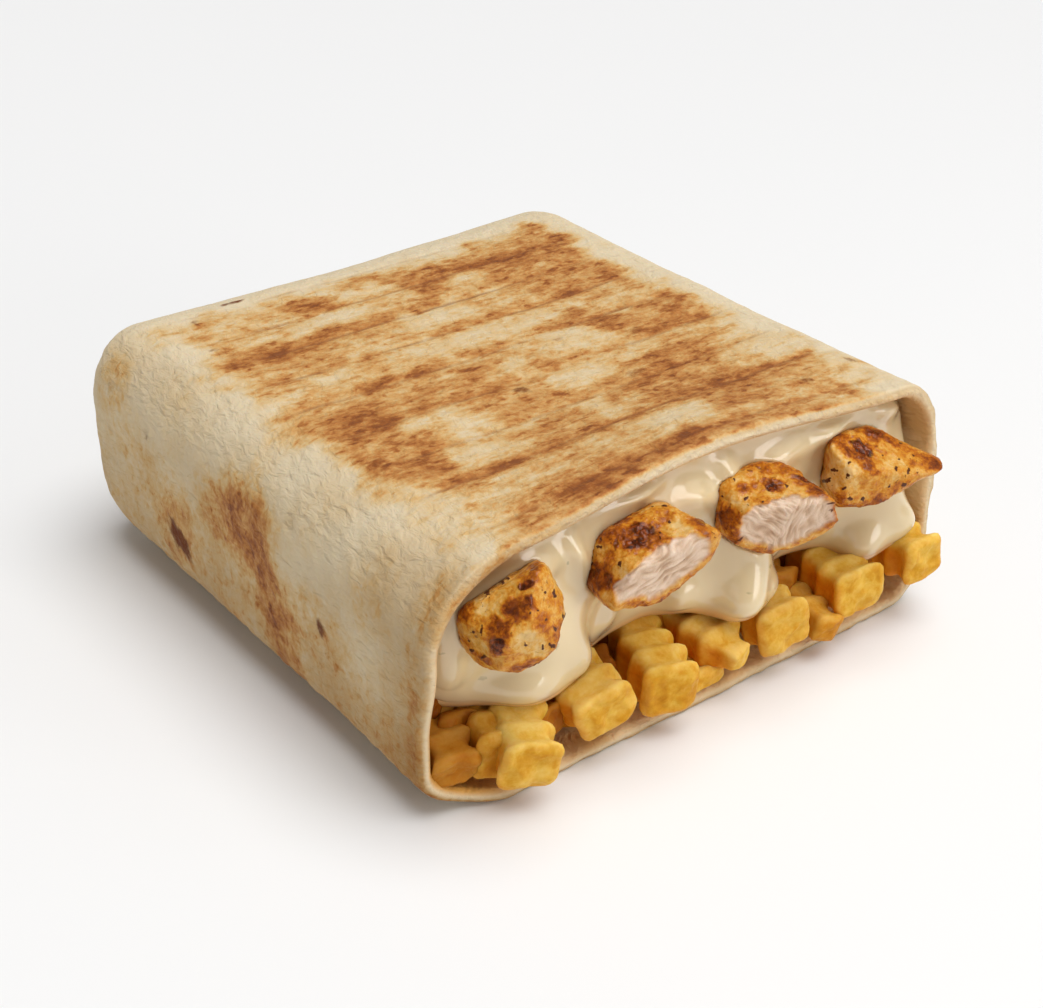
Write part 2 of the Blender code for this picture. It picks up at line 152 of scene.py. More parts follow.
# How toasted the wrap gets, from 0 to 1, by place; painted shade and a painted glow are laid in as toast too
ROOF_TOAST = 0.37
PATCH_TOAST = 0.33
PALE_STRENGTH = 0.54
LINE_TOAST = 0.16
LINE_TOAST_WIDTH = 2.4
FRONT_TOAST = 0.22
FRONT_BAND_X = -4
FRONT_BAND_HALF = (46, 14)
FRONT_BAND_Y = (-56, 5)
UNDER_TOAST = (0.12, 0.30)
# Painted shade on the sides, laid in as toast: even, growing towards the bottom, and patchy
SIDE_PAINTED_SHADE = (0.06, 0.18, 0.12)
SIDE_PAINTED_SHADE_UP = (46, 46)
STRAY_TOAST = 0.30
STRAY_LEVEL = (0.25, 0.7)
CLOUD_TOAST = 0.85
# A painted glow along the lip on the left face, laid in as toast
LIP_PAINTED_GLOW = 0.16
LIP_BAND_Y = MOUTH_Y + 4
LIP_BAND_WIDTH = 5
TURNED_IN_TOAST = 0.30
LEAST_TOAST = 0.02

# Small burnt spots: the face they lie on, two places on it, two half sizes, angle, strength
SPOTS = (
    ("top", -31, 53.5, 3.2, 0.9, 5, 0.9), ("top", -43.5, 47.5, 1, 2, -15, 0.7),
    ("top", -47, 33, 1.6, 1.2, 0, 0.6), ("top", 53, -52, 1, 2, 25, 0.7),
    ("top", 37.5, -54.5, 1.8, 1.3, 0, 0.7), ("top", 13, -6.3, 1.9, 1.1, -10, 0.6),
    ("top", -7.5, -20.5, 1.6, 2.2, 40, 0.75), ("top", 53, 9, 1.4, 0.9, 0, 0.5),
    ("top", 4, 38.5, 3, 1.2, 0, 0.5), ("top", 29, -13, 2.6, 1.4, 20, 0.6),
    ("top", 15, -28.5, 3.5, 1.8, 15, 0.6), ("top", 27, -42, 2.6, 1.2, 0, 0.5),
    ("left", 22.3, 19.3, 5.8, 2.8, 38, 0.9), ("left", -33, 26, 1.5, 2.2, -12, 0.8),
    ("left", 33, 39, 0.7, 1.5, 30, 0.6), ("left", 49, 44, 2.2, 2.6, 0, 0.45),
    ("left", -47, 12, 1.2, 1, 0, 0.45), ("left", -54, 21, 1.3, 1, 0, 0.4),
    ("left", 26.5, 18, 4.5, 4, 20, 0.3), ("left", -30, 27, 3, 3.4, 0, 0.3),
)
# Soft brown clouds on the left face: y, z, half sizes, angle, strength
LEFT_CLOUDS = (
    (-7.5, 36, 8.5, 9, 0, 0.62), (3, 33, 11, 6, 20, 0.36), (-13, 25, 8, 8, 15, 0.48),
    (-17, 16, 6.5, 7, 20, 0.42), (-21, 8, 5, 5, 0, 0.3), (36, 30, 11, 9, 30, 0.2),
    (-50, 40, 6, 9, 10, 0.12), (22, 20, 9, 9, 30, 0.3), (49, 44, 6, 6, 0, 0.22), (-30, 26, 8, 8, 0, 0.15),
)
# Pits in the left face: y, z, half sizes, angle
PITS = ((-21.6, 43, 0.55, 1.5, -28), (33, 39, 0.4, 0.8, 20))
PIT_DEPTH = 0.9
SPOT_HEIGHT = 0.1
# Stray burnt spots: size and seed of the noise they come from, its level, strength
STRAY_SPOTS = (7.5, 9)
STRAY_SPOT_LEVEL = (0.66, 0.2)
STRAY_SPOT_STRENGTH = 0.75

# Uneven surfaces and edges as layers of noise: strength, size of grain, seed, stretch
TOAST_WARP = ((3.4, 10, 1), (2.0, 4, 2))
TOAST_WARP_ALONG = ((2.2, 10, 3), (1.4, 4, 4))
SPOT_WARP = ((0.35, 1.8, 8),)
PRESSED_WARP = ((3, 20, 11),)
LINE_FADING = ((0.9, 16, 12, (1, 0.3, 1)),)
LINE_WOBBLE = ((0.7, 9, 19),)
# Painted shade on the sides, in clouds
PAINTED_SHADE_CLOUDS = ((0.25, 15, 21),)
WRAP_SWELL = ((0.40, 24, 13), (0.14, 11, 14))
WRINKLES = ((0.26, 3.2, 15, (1.6, 0.8, 1)), (0.22, 1.9, 16, (1.4, 0.9, 1)))
WRINKLE_TURN = 40
PRESSED_WRINKLES = ((0.09, 2.6, 17, (1.7, 1, 1)), (0.05, 1.4, 18))
LIP_WAVES = ((0.28, 7, 20),)
MARK_WARP = ((0.35, 1.6, 30), (0.2, 0.8, 31))
SPECK_WARP = ((0.8, 0.5, 47),)
CUT_WARP = (((0.45, 1.5, 36),), ((0.45, 1.5, 37),))
FIBRES = ((1, 0.80, 39, (4.5, 1, 1)), (0.7, 0.42, 40, (4, 1, 1)))
FIBRE_SWAY = ((1.2, 5, 38),)
FIBRE_TONE = ((0.35, 2.6, 41),)
CHAR_RELIEF = ((0.18, 0.7, 46),)
CRUST_RELIEF = ((0.34, 3.2, 42), (0.22, 1.5, 43), (0.10, 0.75, 44))
SAUCE_WAVES = ((0.36, 12, 50, (1.2, 1, 1)), (0.15, 6, 51))
FRY_RELIEF = ((0.38, 4.5, 60), (0.20, 2.0, 61), (0.07, 0.9, 62))
FRY_END_RELIEF = ((1.1, 4.5, 63), (0.45, 1.8, 65))
CORE_RELIEF = ((0.3, 3.0, 64),)
# Single noises, as size of grain and seed
UNDER_CLOUDS = (22, 5)
STRAY_CLOUDS = (17, 6)
SIDE_SHADE_CLOUDS = (15, 7)
BROWN_GRAIN = (1.3, 45)

# The sauce, as in the model
SAUCE_FLOOR = 16
SAUCE_EDGE_Y = -56.5
SAUCE_TOP_RECESS = 3.5
SAUCE_SIDE_RECESS = 2.5
SAUCE_SIDE = (40, 22)
SAUCE_CORNER_LIFT = (9, 5)
SAUCE_CORNER_START = 11
SAUCE_CORNER = 8.5
SAUCE_LIP = 2.8
SAUCE_HEEL = 0.5
SAUCE_HEEL_Y = -54
SAUCE_BULGE = 2.6
SAUCE_SAG = 1.7
SAUCE_FLOW = (0.20, 0.65)
SAUCE_ROLL = 1.5
SAUCE_ROLL_REACH = 0.14
SAUCE_END_START = 52
SAUCE_END_SPAN = 11
SAUCE_END_DEPTH = 5.5
SAUCE_HANG_REACH = 4
# Lobes over the fries: x, half width, how far they reach out and how far they droop
SAUCE_LOBES = (
    (-36, 11.2, 8.6, 0.4), (12, 9.5, 12.4, 0.6), (51, 10, 10.5, 0.2),
)
SAUCE_STATIONS = 250
SAUCE_FACE_STEPS = 66
SAUCE_LIP_STEPS = 12
SLICE_EVENNESS = 0.55
SWELL_SCALE = 1.35
RELIEF_HALF = (62, 4)
RELIEF_TOP_STEPS = 5
# Steps of the lower edge that take a painted glow of light bounced from the fries
SAUCE_GLOW_STEPS = (SAUCE_FACE_STEPS - 3, 6)
# Swells and hollows on the sauce: x, z, half sizes, angle, height
SWELLS = (
    (-29.8, 23, 3.4, 5.6, 16, 2.1), (-0.8, 23.4, 4.2, 4.6, 10, 2.5), (8.8, 22, 3.2, 4.8, -8, 2.5),
    (17.5, 21, 3, 4.2, 0, 1.4), (45.4, 19.6, 3.6, 4.6, 0, 2.6), (55, 22.6, 3.4, 4.6, 10, 2.6),
    (36.5, 24.4, 3, 3, 0, 1.6), (25.5, 24.2, 3, 2.8, 0, 1.5), (-38.2, 44.4, 4.6, 3, 8, 1.5),
    (-30.2, 44.5, 2.2, 5, 18, 1.6), (-14, 51.4, 5, 2.6, 4, 1.5), (0.5, 45, 6, 3, -20, 1.7),
    (8.5, 46.5, 2.6, 6, 25, 1.5), (22.5, 46.8, 6, 2.8, 4, 1.5), (34, 48.4, 6, 2.6, 16, 1.5),
    (52, 47.6, 4.6, 3, -20, 1.5), (-54.5, 27, 4, 6.6, 10, 2), (-43, 21, 6, 3.6, -6, 2),
    (-19.5, 24.5, 5, 3.4, 8, 1.8), (59, 36, 2.6, 7, 0, 1),
)
# The sauce round each lump: rounds of pushing back, gap, least push, and the collar's width and height
MOULD_ROUNDS = 26
MOULD_GAP = 0.1
MOULD_STEP = 0.12
MOULD_DEPTH = 0.5
COLLAR_WIDTH = 1.6
COLLAR_HEIGHT = 0.35
# Flecks of herb on the sauce: x, z, half size
HERBS = (
    (-48.5, 24.5, 0.9), (-58, 34.5, 0.6), (-36.5, 29, 0.8), (-33, 44, 0.6), (3, 31, 0.7), (14.5, 27.5, 0.9),
    (9, 25, 0.6), (-14, 55, 0.6), (40, 31.5, 0.6), (54, 37, 0.5), (24.5, 53, 0.5), (-24, 33.5, 0.5),
)
HERB_TURN = 30

# The filling behind the mouth
FILLING_HALF_WIDTH = WIDTH / 2 - WALL - FILLING_GAP
FILLING_BACK_Y = 57
FILLING_BACK_CORNER = 10
FILLING_RUN_Y = (50, 20, -15, -35, -50)
CORE_FRONT_Y = -55.5
CORE_WAVE = 0.8
CORE_WAVE_LENGTH = 4
CORE_SET_BACK = 0.5
CORE_TOP_GAP = 0.3
CORE_FRONT_STEPS = 8
CORE_STATIONS = 60
CORE_HALF_WIDTH = 59.5

# The fries' ridges
RIDGE_PITCH = 5.6
RIDGE_DEPTH = 0.78
RIDGE_SWAY = 0.30
RIDGE_FLATNESS = 0.55
RIDGE_START = 0.9
RIDGE_SHARPNESS = 1.5
# Crinkle-cut fries: the centre of each tip, then yaw, pitch and roll, width, height,
# how pointed it is and how much painted shade it takes
FRIES = (
    ((-47.4, -73.8, 10.7), (-18, 7, 12), 10.6, 9.4, 0, 0),
    ((-50.2, -68.6, 11.3), (-14, 3, 8), 8.4, 8.8, 0, 0.3),
    ((-57.8, -66, 10.2), (-10, 16, 4), 9, 7, 0, 0.66), ((-53.4, -61, 13.6), (-8, -4, 6), 7.4, 6.4, 0, 0.75),
    ((-37.4, -66.4, 10.6), (10, 0, -10), 8.8, 6.2, 0, 0.72),
    ((-28.3, -72.6, 13.2), (-10, 3, -22), 11.8, 8.4, 0.05, 0.06),
    ((-12.9, -72.9, 11.5), (-16, 1, 3), 10.6, 9.8, 0, 0),
    ((6, -72.7, 10.8), (4, 4, -4), 10.4, 7.8, 0.5, 0.1), ((1, -69, 6.2), (6, 2, 0), 9, 3.4, 0, 0.1),
    ((18.2, -72.3, 12.4), (-9, 1, -10), 10.8, 9.8, 0, 0.1),
    ((30.2, -73.5, 7.9), (-4, 3, 16), 8, 6.6, 0.25, 0.34), ((39, -73, 13.4), (-7, -2, -4), 11.6, 9.2, 0, 0),
    ((56.8, -74.3, 14.8), (-1, -2, -4), 9.4, 8.8, 0, 0),
)
# Fries further in, which show through the gaps, painted dark as deep shade
DEEP_FRIES = (
    ((-48, -58.5, 13), (8, 0, 4), 9, 6.4, 0, 0.8), ((-57.6, -58, 18), (4, 0, 10), 7, 7, 0, 1),
    ((-30, -61, 6.8), (-4, 2, 4), 11, 6.6, 0, 0.7), ((-20, -62, 12), (5, 0, -8), 8.4, 7, 0, 0.95),
    ((-1.5, -57.5, 11.6), (8, 0, 6), 9, 7, 0, 0.7), ((9, -60.5, 7), (-6, 3, 5), 9.5, 6.6, 0, 0.8),
    ((28.5, -62, 12.4), (5, 0, 8), 9, 7, 0, 0.7), ((38, -62, 6.6), (-5, 2, -8), 10, 6, 0, 0.7),
    ((49, -63, 12.2), (-8, 0, 6), 9, 8, 0, 0.6),
)
FRY_ROOT_Y = -47
FRY_ROUND_POINTS = 44
FRY_RING_PITCH = 0.42
FRY_SQUARENESS = 4.8
FRY_TIP_RADIUS = 1.5
FRY_TIP_STEPS = 6
FRY_TIP_RINGS = (0.03, 0.2, 0.4, 0.6, 0.8, 0.95)
FRY_POINT_LENGTH = 8
FRY_FLAT_SHARE = 0.97
FRY_EDGE_REACH = 3
FRY_END_REACH = 2
FRY_PROBE_RING = 20
# Along the parcel, where fries start to take painted shade and painted deep shade, and the span of each
# change
FRY_SHADE_Y = (-59, 8)
FRY_PAINTED_DEEP_SHADE_Y = (-56, 6)
# Chance in the fries: shift of the ridges, bend over a length, twist over a length, tone
FRY_SHIFT = 0.5
FRY_BEND = 0.8
FRY_BEND_LENGTH = 12
FRY_TWIST = 5
FRY_TWIST_LENGTH = 10
FRY_TONES = (0.22, 0.40)
# The core behind takes the shaded colours and painted deep shade
FRY_MARKS_INSIDE = {"ridge": 0.3, "edge": 0.0, "tone_and_light": 0.6, "fry_painted_shade": 1.0, "dark": 0.9}

# Chicken: each lump's centre, then its facets as in the model: angle, lean, distance
CHICKEN_YAW = -38
CHICKEN_TILT = 30
CHICKEN_CRISPNESS = 14
CHICKEN_FINENESS = 7
CHICKEN = (
    ((-47.9, -70.5, 41.7),
     ((120, 5, 6.3), (33, -5, 8.6), (-15, -5, 7.5), (-55, -5, 8.1), (-92, -5, 9.1), (-135, -5, 10.6),
      (180, 0, 10.2), (142, 55, 7.6), (5, 38, 8.3), (-62, 46, 8.6), (-145, 32, 9), (0, -90, 9))),
    ((-17.8, -70.2, 41.2),
     ((115, 5, 8.6), (62, 0, 10.7), (-20, 0, 10.7), (-50, -15, 6.9), (-90, -10, 7.7), (-140, 0, 11.3),
      (160, 0, 10.6), (-52, 38, 6), (98, 52, 7.4), (175, 42, 9.3), (0, -90, 9))),
    ((12.4, -68.7, 40),
     ((122, 0, 9.2), (90, 0, 9.6), (52, 0, 9.9), (18, 0, 12.4), (-55, -10, 9.6), (-82, -10, 7.9),
      (-120, -5, 7.5), (180, 0, 9.1), (-78, 42, 6.2), (90, 50, 7.6), (188, 42, 9.6), (0, -90, 9))),
    ((37.2, -67.9, 40.2),
     ((135, 0, 7.6), (105, 0, 7.7), (62, 0, 10.4), (-58, 0, 8.8), (-88, 0, 7.1), (-150, 0, 5.8),
      (178, 0, 5.2), (-155, 42, 7.6), (62, 46, 6.6), (-62, 50, 7.4), (0, -90, 8.5))),
)
# Marks on each lump, seen square on: place across and up, half sizes, angle, strength
CHAR = (
    ((1.4, 5.6, 1.8, 0.75, 25, 1), (-3, -4.1, 1.35, 1.5, 10, 1), (3, 8.2, 0.9, 0.5, 10, 0.7),
     (2.3, 3, 0.4, 1.6, -5, 0.8), (-1.2, 2, 1.2, 0.7, 20, 0.6), (0.3, 0.4, 1.6, 0.4, -15, 0.5),
     (1.8, -8.1, 1.2, 0.4, 8, 0.7), (-9.6, 1.8, 0.7, 0.8, 0, 0.5)),
    ((-1.7, 5.7, 2.5, 1.3, -12, 0.9), (-2.6, 3.3, 2.6, 1, 10, 1), (-6.1, 3.2, 0.6, 1.1, 0, 0.8),
     (-10.4, -2.1, 1.2, 1.2, 0, 0.8), (-7.5, -3.2, 0.9, 1.4, 10, 0.8), (9, 7, 1.4, 0.7, -25, 0.7),
     (-1.1, -6.6, 0.6, 0.5, 0, 0.5), (-7, 5, 1.2, 0.6, -10, 0.5)),
    ((0.8, 4.5, 1.3, 1.1, 0, 1), (7.3, 6, 2.2, 0.5, -20, 0.9), (-1, 8.4, 1, 0.35, -15, 0.7),
     (-2.7, 7.6, 0.7, 0.3, -15, 0.7), (-6.9, 0.9, 0.3, 1.2, -10, 0.6), (-6.4, -2.7, 0.8, 0.8, 0, 0.5),
     (2.2, 8.7, 1.6, 0.35, 0, 0.45), (8.6, 3.4, 0.7, 0.5, -20, 0.5)),
    ((1.7, 3.9, 2.6, 1.35, -28, 1), (5.2, 7.4, 2.1, 0.9, -8, 0.95), (-2.7, 6.9, 0.9, 0.4, 10, 0.7),
     (16.9, 1.4, 1.1, 0.8, 0, 0.9), (-3.4, -5.2, 0.6, 0.9, 0, 0.5), (13.4, 3.3, 0.5, 0.8, 20, 0.6)),
)
BROWN = (
    ((0.2, 1.8, 3, 1.9, 30, 0.85), (-3.3, -2.6, 2.3, 3, 10, 0.8), (-8.8, 1.2, 1.9, 1.8, 0, 0.85),
     (1.8, 6.3, 2.2, 1.2, 30, 0.6), (4.3, -0.5, 1.5, 2.2, 0, 0.45), (2.5, -7.6, 3.2, 1, 15, 0.8),
     (-5, -7, 3, 0.6, -30, 0.6), (3.2, 8.4, 1.2, 0.9, 0, 0.6), (7, -2, 0.8, 3, 0, 0.4)),
    ((-2, 5, 4.6, 3, -5, 0.75), (-9, -2.6, 3, 2.8, 0, 0.85), (-7.2, 4.6, 2.2, 1.6, 0, 0.6),
     (-7.1, 0.8, 0.8, 1.3, 20, 0.6), (8.6, 5.9, 2.8, 1.3, -25, 0.6), (2.8, 8.2, 1.6, 1, 0, 0.45),
     (4.5, -5.6, 7, 1, 38, 0.6), (-2, -7.2, 2.5, 0.8, 0, 0.7)),
    ((0.9, 4.8, 2.6, 1.5, 0, 0.7), (-7.2, -1.2, 2, 2.6, 20, 0.85), (-4.7, 4.5, 1.1, 1.1, 0, 0.7),
     (3, 8, 5.5, 1.3, -5, 0.5), (8, 5.2, 3.6, 1.3, -25, 0.7), (8.9, 3.3, 1.6, 0.9, -20, 0.7),
     (-6, -4.6, 1.6, 1.5, 30, 0.7), (1, -7.6, 6, 0.8, 0, 0.55), (11.8, -1, 1.2, 2.4, 0, 0.5)),
    ((1.8, 3.6, 3.6, 2.2, -28, 0.7), (-1.8, 3.6, 3.4, 0.9, -38, 0.95), (2.4, 0.6, 2.2, 1, -38, 0.9),
     (5.2, 7.3, 3.6, 1.6, -10, 0.7), (15.4, 1.9, 3, 2, 0, 0.9), (10.5, 5.2, 3.5, 1.6, -30, 0.6),
     (-3.2, -5.2, 1.6, 1.6, 0, 0.7), (2.5, -6.6, 6, 0.9, 8, 0.6), (-2.9, 6.6, 1.6, 0.8, 10, 0.6),
     (8.5, -3.6, 4, 0.8, 25, 0.5)),
)
PALE_MEAT = (
    ((2.3, -4, 2.4, 2.8, 10, 0.75), (-6, 3, 2.8, 2.6, 30, 0.45), (-2.2, 6.4, 1.6, 1.2, 0, 0.3),
     (-6.2, -3.8, 1.6, 2.4, 20, 0.35)),
    ((-9, 1.2, 1.6, 1.6, 0, 0.4), (-5.2, -1.6, 1.8, 2.4, 40, 0.45), (4.6, 5.6, 3.2, 1.5, -8, 0.75)),
    ((-5, 1.6, 2.4, 1.6, 20, 0.7), (2.8, 3.6, 3.6, 1, 10, 0.4)),
    ((-2.2, -1.6, 3, 4.4, 10, 0.8), (7, -0.6, 4.6, 3.2, 20, 0.3), (11.5, 1, 2.5, 1.8, 20, 0.25)),
)
# Specks on each lump: place across and up, half sizes, angle
SPECKS = (
    ((-4.9, 4.2, 0.6, 0.75, 20), (-1.5, 6.4, 0.4, 0.25, 20), (-2.3, 5.8, 0.4, 0.2, 20),
     (-5.7, -1.8, 0.3, 0.8, 0), (-7.4, -2.3, 0.35, 0.3, 0), (-7.5, -5.5, 0.45, 0.35, -30),
     (-5.4, -6.4, 0.5, 0.35, 20), (6.1, 4, 0.3, 0.8, 8), (4.7, 4.4, 0.25, 0.25, 0),
     (3.5, 1.5, 0.25, 0.25, 0), (4.8, 0, 0.25, 0.25, 0), (2.2, 1.1, 0.3, 0.35, 0),
     (6.2, -1.6, 0.3, 0.6, 25), (4.3, -4.6, 0.25, 0.5, 0), (5.8, -4.4, 0.7, 0.4, -15),
     (7.6, 0.3, 0.45, 0.7, 0), (1.5, -4.2, 0.3, 0.45, 30), (-8.2, -4, 0.3, 0.3, 0)),
    ((-8.8, 2.6, 0.45, 0.35, 0), (-5.5, -0.3, 0.35, 0.7, -15), (-10.2, -0.4, 0.45, 0.4, 0),
     (-3.7, 8.3, 0.45, 0.5, 0), (2.7, 9.7, 0.6, 0.25, 0), (3.4, 7.2, 0.4, 0.35, 0),
     (1.6, 4.9, 0.25, 0.4, 0), (1.5, 4, 0.2, 0.3, 0), (6.3, 0.4, 0.25, 0.2, 0), (0.6, 9.4, 0.3, 0.2, 0),
     (-8.6, 4, 0.25, 0.25, 0)),
    ((-4, 2.4, 0.5, 0.35, 25), (-5.8, 5.9, 0.3, 0.3, 0), (3.7, 4.6, 0.35, 0.55, -10),
     (11.6, 1.5, 0.35, 0.3, 0), (11.9, 0.2, 0.3, 0.35, 0), (-4.6, -5, 0.4, 0.3, 0),
     (-8.2, 2.9, 0.25, 0.3, 0), (-1, 1.7, 0.25, 0.2, 0), (13, -1.5, 0.5, 0.35, 0)),
    ((-4.2, -0.1, 0.7, 0.35, -15), (-1.8, -1.2, 0.35, 0.55, 10), (-1.6, 1.3, 0.45, 0.35, 0),
     (-4.9, -2, 0.4, 0.45, 0), (-2.2, -3.5, 0.45, 0.35, 20), (-0.9, -5.5, 0.65, 0.35, 10),
     (1.7, -5.6, 0.5, 0.5, 0), (6.9, -3.1, 0.35, 0.5, -10), (9.9, -2.8, 0.5, 0.55, -30),
     (8, 0.3, 0.35, 0.6, -20), (10.7, -0.2, 0.4, 0.8, -30), (9.2, 2.1, 0.25, 0.25, 0),
     (10.2, 5.4, 0.5, 0.4, -30), (5.9, 2.9, 0.3, 0.2, 0), (-5.4, 0.4, 0.25, 0.3, 0),
     (12, 2.9, 0.25, 0.3, 0)),
)
SPECK_SCALE = 0.9
# On the side that doesn't show: how strong the marks are, then seed, size and level
HIDDEN_CHAR = (0.9, 32, 5.0, 0.45)
HIDDEN_BROWN = (0.8, 33, 6.5, 0.1)
HIDDEN_PALE = (0.7, 34, 7.0, 0.2)
HIDDEN_SPECKS = (1.0, 35, 1.3, 0.72)
# Cut faces of the second and third lump, and the run of their fibres in degrees
CUTS = (
    None,
    (((-6.5, -4.3), (-5.2, -2.9), (-1.8, 0.2), (2.1, 3.1), (7.2, 4.9), (9.8, 4.2), (11, 2.5), (9.8, 0.2),
      (6.1, -2.9), (2.1, -5.7), (-0.1, -6.6), (-1.3, -6), (-3.3, -6.4), (-5.2, -7.1), (-6.1, -6.3)), 35, 35),
    (((-4.5, -1), (-2.6, 1.2), (0.2, 1.8), (2.6, 2.6), (4.8, 3.1), (7.5, 2.6), (10, 2.6), (11.6, 1.5),
      (12.4, -0.4), (11.3, -2.6), (9.1, -3.9), (7, -4.8), (5.9, -5.9), (3.2, -6.4), (1.5, -6.9),
      (-0.1, -6.1), (-2.6, -5.9), (-4.5, -5), (-5, -3.1)), -25, 70),
    None,
)
CUT_SOFT = 0.55
CUT_DEPTH = 0.45
CUT_RIM_OUT = 0.35
CUT_RIM_WIDTH = 0.7
CUT_RIM_HEIGHT = 0.3
FIBRE_HEIGHT = 0.24
FIBRE_CONTRAST = 1.5
FIBRE_SEAM = (4.1, 1.6)
FIBRE_SEAM_SLOPE = 0.45
BROWN_HEIGHT = 0.22
SPECK_HEIGHT = 0.14
SEEN_SIDE = (0.35, 0.45)
# Thin points that stick out: where each starts, where it ends and how wide it is
TIPS = (
    ((7, 0.4), (8.2, 0.3), 0.7), ((-5.6, -7.2), (-6.6, -8.2), 1.4), ((12.2, -1.2), (13.6, -1.7), 1),
    ((15, 1.6), (17.9, 1.3), 2.6),
)

# Colours of the paints, in linear light; a ramp has the places of its colours
TOAST_RAMP = (
    (0.0, (0.72, 0.600, 0.41)), (0.16, (0.70, 0.535, 0.315)), (0.34, (0.67, 0.450, 0.205)),
    (0.50, (0.61, 0.335, 0.115)), (0.68, (0.49, 0.205, 0.056)), (0.86, (0.31, 0.100, 0.024)),
    (1.0, (0.22, 0.070, 0.022)),
)
BURNT_SPOT = (0.17, 0.045, 0.010)
PRESS_LINE = (0.27, 0.10, 0.036)
# The inside: the dough's colour made darker and warmer as painted shade, two tones mixed by noise
SHADED_LINING = ((0.72, 0.50, 0.27), (0.60, 0.36, 0.15))
LINING_PAINTED_GLOW = (0.62, 0.31, 0.055)
# Painted shade, multiplied into the sides and the turned-in lip
WRAP_PAINTED_SHADE = (0.60, 0.48, 0.34)
SAUCE = ((0.70, 0.555, 0.325), (0.75, 0.61, 0.37))
SAUCE_PAINTED_GLOW = (0.68, 0.38, 0.14)
HERB = (0.27, 0.24, 0.12)
FRY_LIT = (
    (0.0, (0.80, 0.56, 0.15)), (0.28, (0.73, 0.445, 0.070)), (0.52, (0.63, 0.315, 0.022)),
    (0.76, (0.52, 0.220, 0.010)), (1.0, (0.38, 0.135, 0.006)),
)
FRY_SHADED = ((0.0, (0.80, 0.34, 0.020)), (0.5, (0.66, 0.20, 0.004)), (1.0, (0.38, 0.08, 0.001)))
FRY_EDGE = (0.66, 0.31, 0.085)
FRY_PAINTED_DEEP_SHADE = (0.16, 0.032, 0.001)
CRUST_RAMP = (
    (0.0, (0.70, 0.46, 0.18)), (0.22, (0.66, 0.35, 0.070)), (0.42, (0.58, 0.23, 0.018)),
    (0.60, (0.44, 0.125, 0.006)), (0.78, (0.26, 0.058, 0.003)), (1.0, (0.11, 0.020, 0.002)),
)
MEAT_RAMP = ((0.0, (0.40, 0.235, 0.135)), (0.4, (0.64, 0.45, 0.31)), (1.0, (0.78, 0.61, 0.47)))
SOOT_RAMP = ((0.30, (0.022, 0.005, 0.001)), (0.5, (0.11, 0.019, 0.002)), (0.75, (0.34, 0.066, 0.003)))
SPECK = (0.085, 0.022, 0.005)
FLECK = (0.12, 0.026, 0.004)
FLOOR = (0.86, 0.86, 0.86)
SKY = (1.0, 0.99, 0.98, 1.0)
SKY_STRENGTH = 0.24

# Camera and lights, in metres: a light has its name, place, size, power and colour
CAMERA_AZIMUTH = -37.99
CAMERA_HEIGHT = 29.76
CAMERA_DISTANCE = 0.37418
CAMERA_TARGET = Vector((0, 0, 0.025))
CAMERA_SHIFT = (0.00646, -0.00862)
CAMERA_FOCUS = 59.425
SENSOR = 36
LIGHTS = (
    ("key", (0.45, -0.55, 0.50), (0.50, 0.40), 0.5, (1.0, 0.97, 0.93)),
    ("window", (0.20, -0.66, 0.17), (0.34, 0.28), 1.12, (1.0, 0.98, 0.96)),
    ("fill", (-0.70, -0.25, 0.35), (0.30, 0.40), 0.19, (0.96, 0.98, 1.0)),
)
LIGHTS_AIM = Vector((0, -0.03, 0.03))
SUN_TOWARDS = Vector((0.12, -0.24, 1.0))
SUN_STRENGTH = 2.52
SUN_SOFTNESS = 50
FLOOR_REACH = 4


# Small tools for shapes


def smooth(value):
    """A soft step from 0 to 1, for a number or an array."""
    value = np.clip(value, 0.0, 1.0)
    return value * value * (3 - 2 * value)


def rise(value, start, span):
    """A soft step up that starts there and takes that span."""
    return smooth((value - start) / span)


def fall(value, end, span):
    """A soft step down that ends there and takes that span."""
    return smooth((end - value) / span)


def bell(value, width):
    """1 at 0, fading out on both sides."""
    return np.exp(-(value / width) ** 2)


def quarter_turn(part):
    """How far a quarter circle has bent away, 0 to 1, at that part of its width."""
    part = min(max(part, 0.0), 1.0)
    return 1 - math.sqrt(1 - part * part)


def hashed(i, j, k, seed):
    """Whole pseudo-random numbers for the cells of a lattice."""
    mixed = (i * 374761393 + j * 668265263 + k * 1442695041 + seed * 974634777) & 0xFFFFFFFF
    mixed = ((mixed ^ (mixed >> 13)) * 1274126177) & 0xFFFFFFFF
    return mixed ^ (mixed >> 16)


def noise(points, size, seed=0, stretch=(1, 1, 1)):
    """Smooth noise of about -1 to 1 over points in mm; its grains are `size` across."""
    places = np.asarray(points, float) / (size * np.asarray(stretch, float))
    cell = np.floor(places).astype(np.int64)
    part = places - cell
    fade = part ** 3 * (part * (part * 6 - 15) + 10)
    total = np.zeros(len(places))
    for corner in np.ndindex(2, 2, 2):
        code = hashed(*(cell + corner).T, seed + SEED)
        slope = np.stack([(code >> shift & 1023) / 511.5 - 1 for shift in (0, 10, 20)], 1)
        weight = np.prod(np.where(corner, fade, 1 - fade), axis=1)
        total += weight * (slope * (part - corner)).sum(1)
    return total * 1.5


def layered(points, layers):
    """Layers of noise added up: each has a strength, a size, a seed and maybe a stretch."""
    return sum(strength * noise(points, *grain) for strength, *grain in layers)


def turned(points, degrees):
    """Points turned about Z."""
    angle = math.radians(degrees)
    c, s = math.cos(angle), math.sin(angle)
    return np.stack([
        points[:, 0] * c + points[:, 1] * s, points[:, 1] * c - points[:, 0] * s, points[:, 2],
    ], 1)


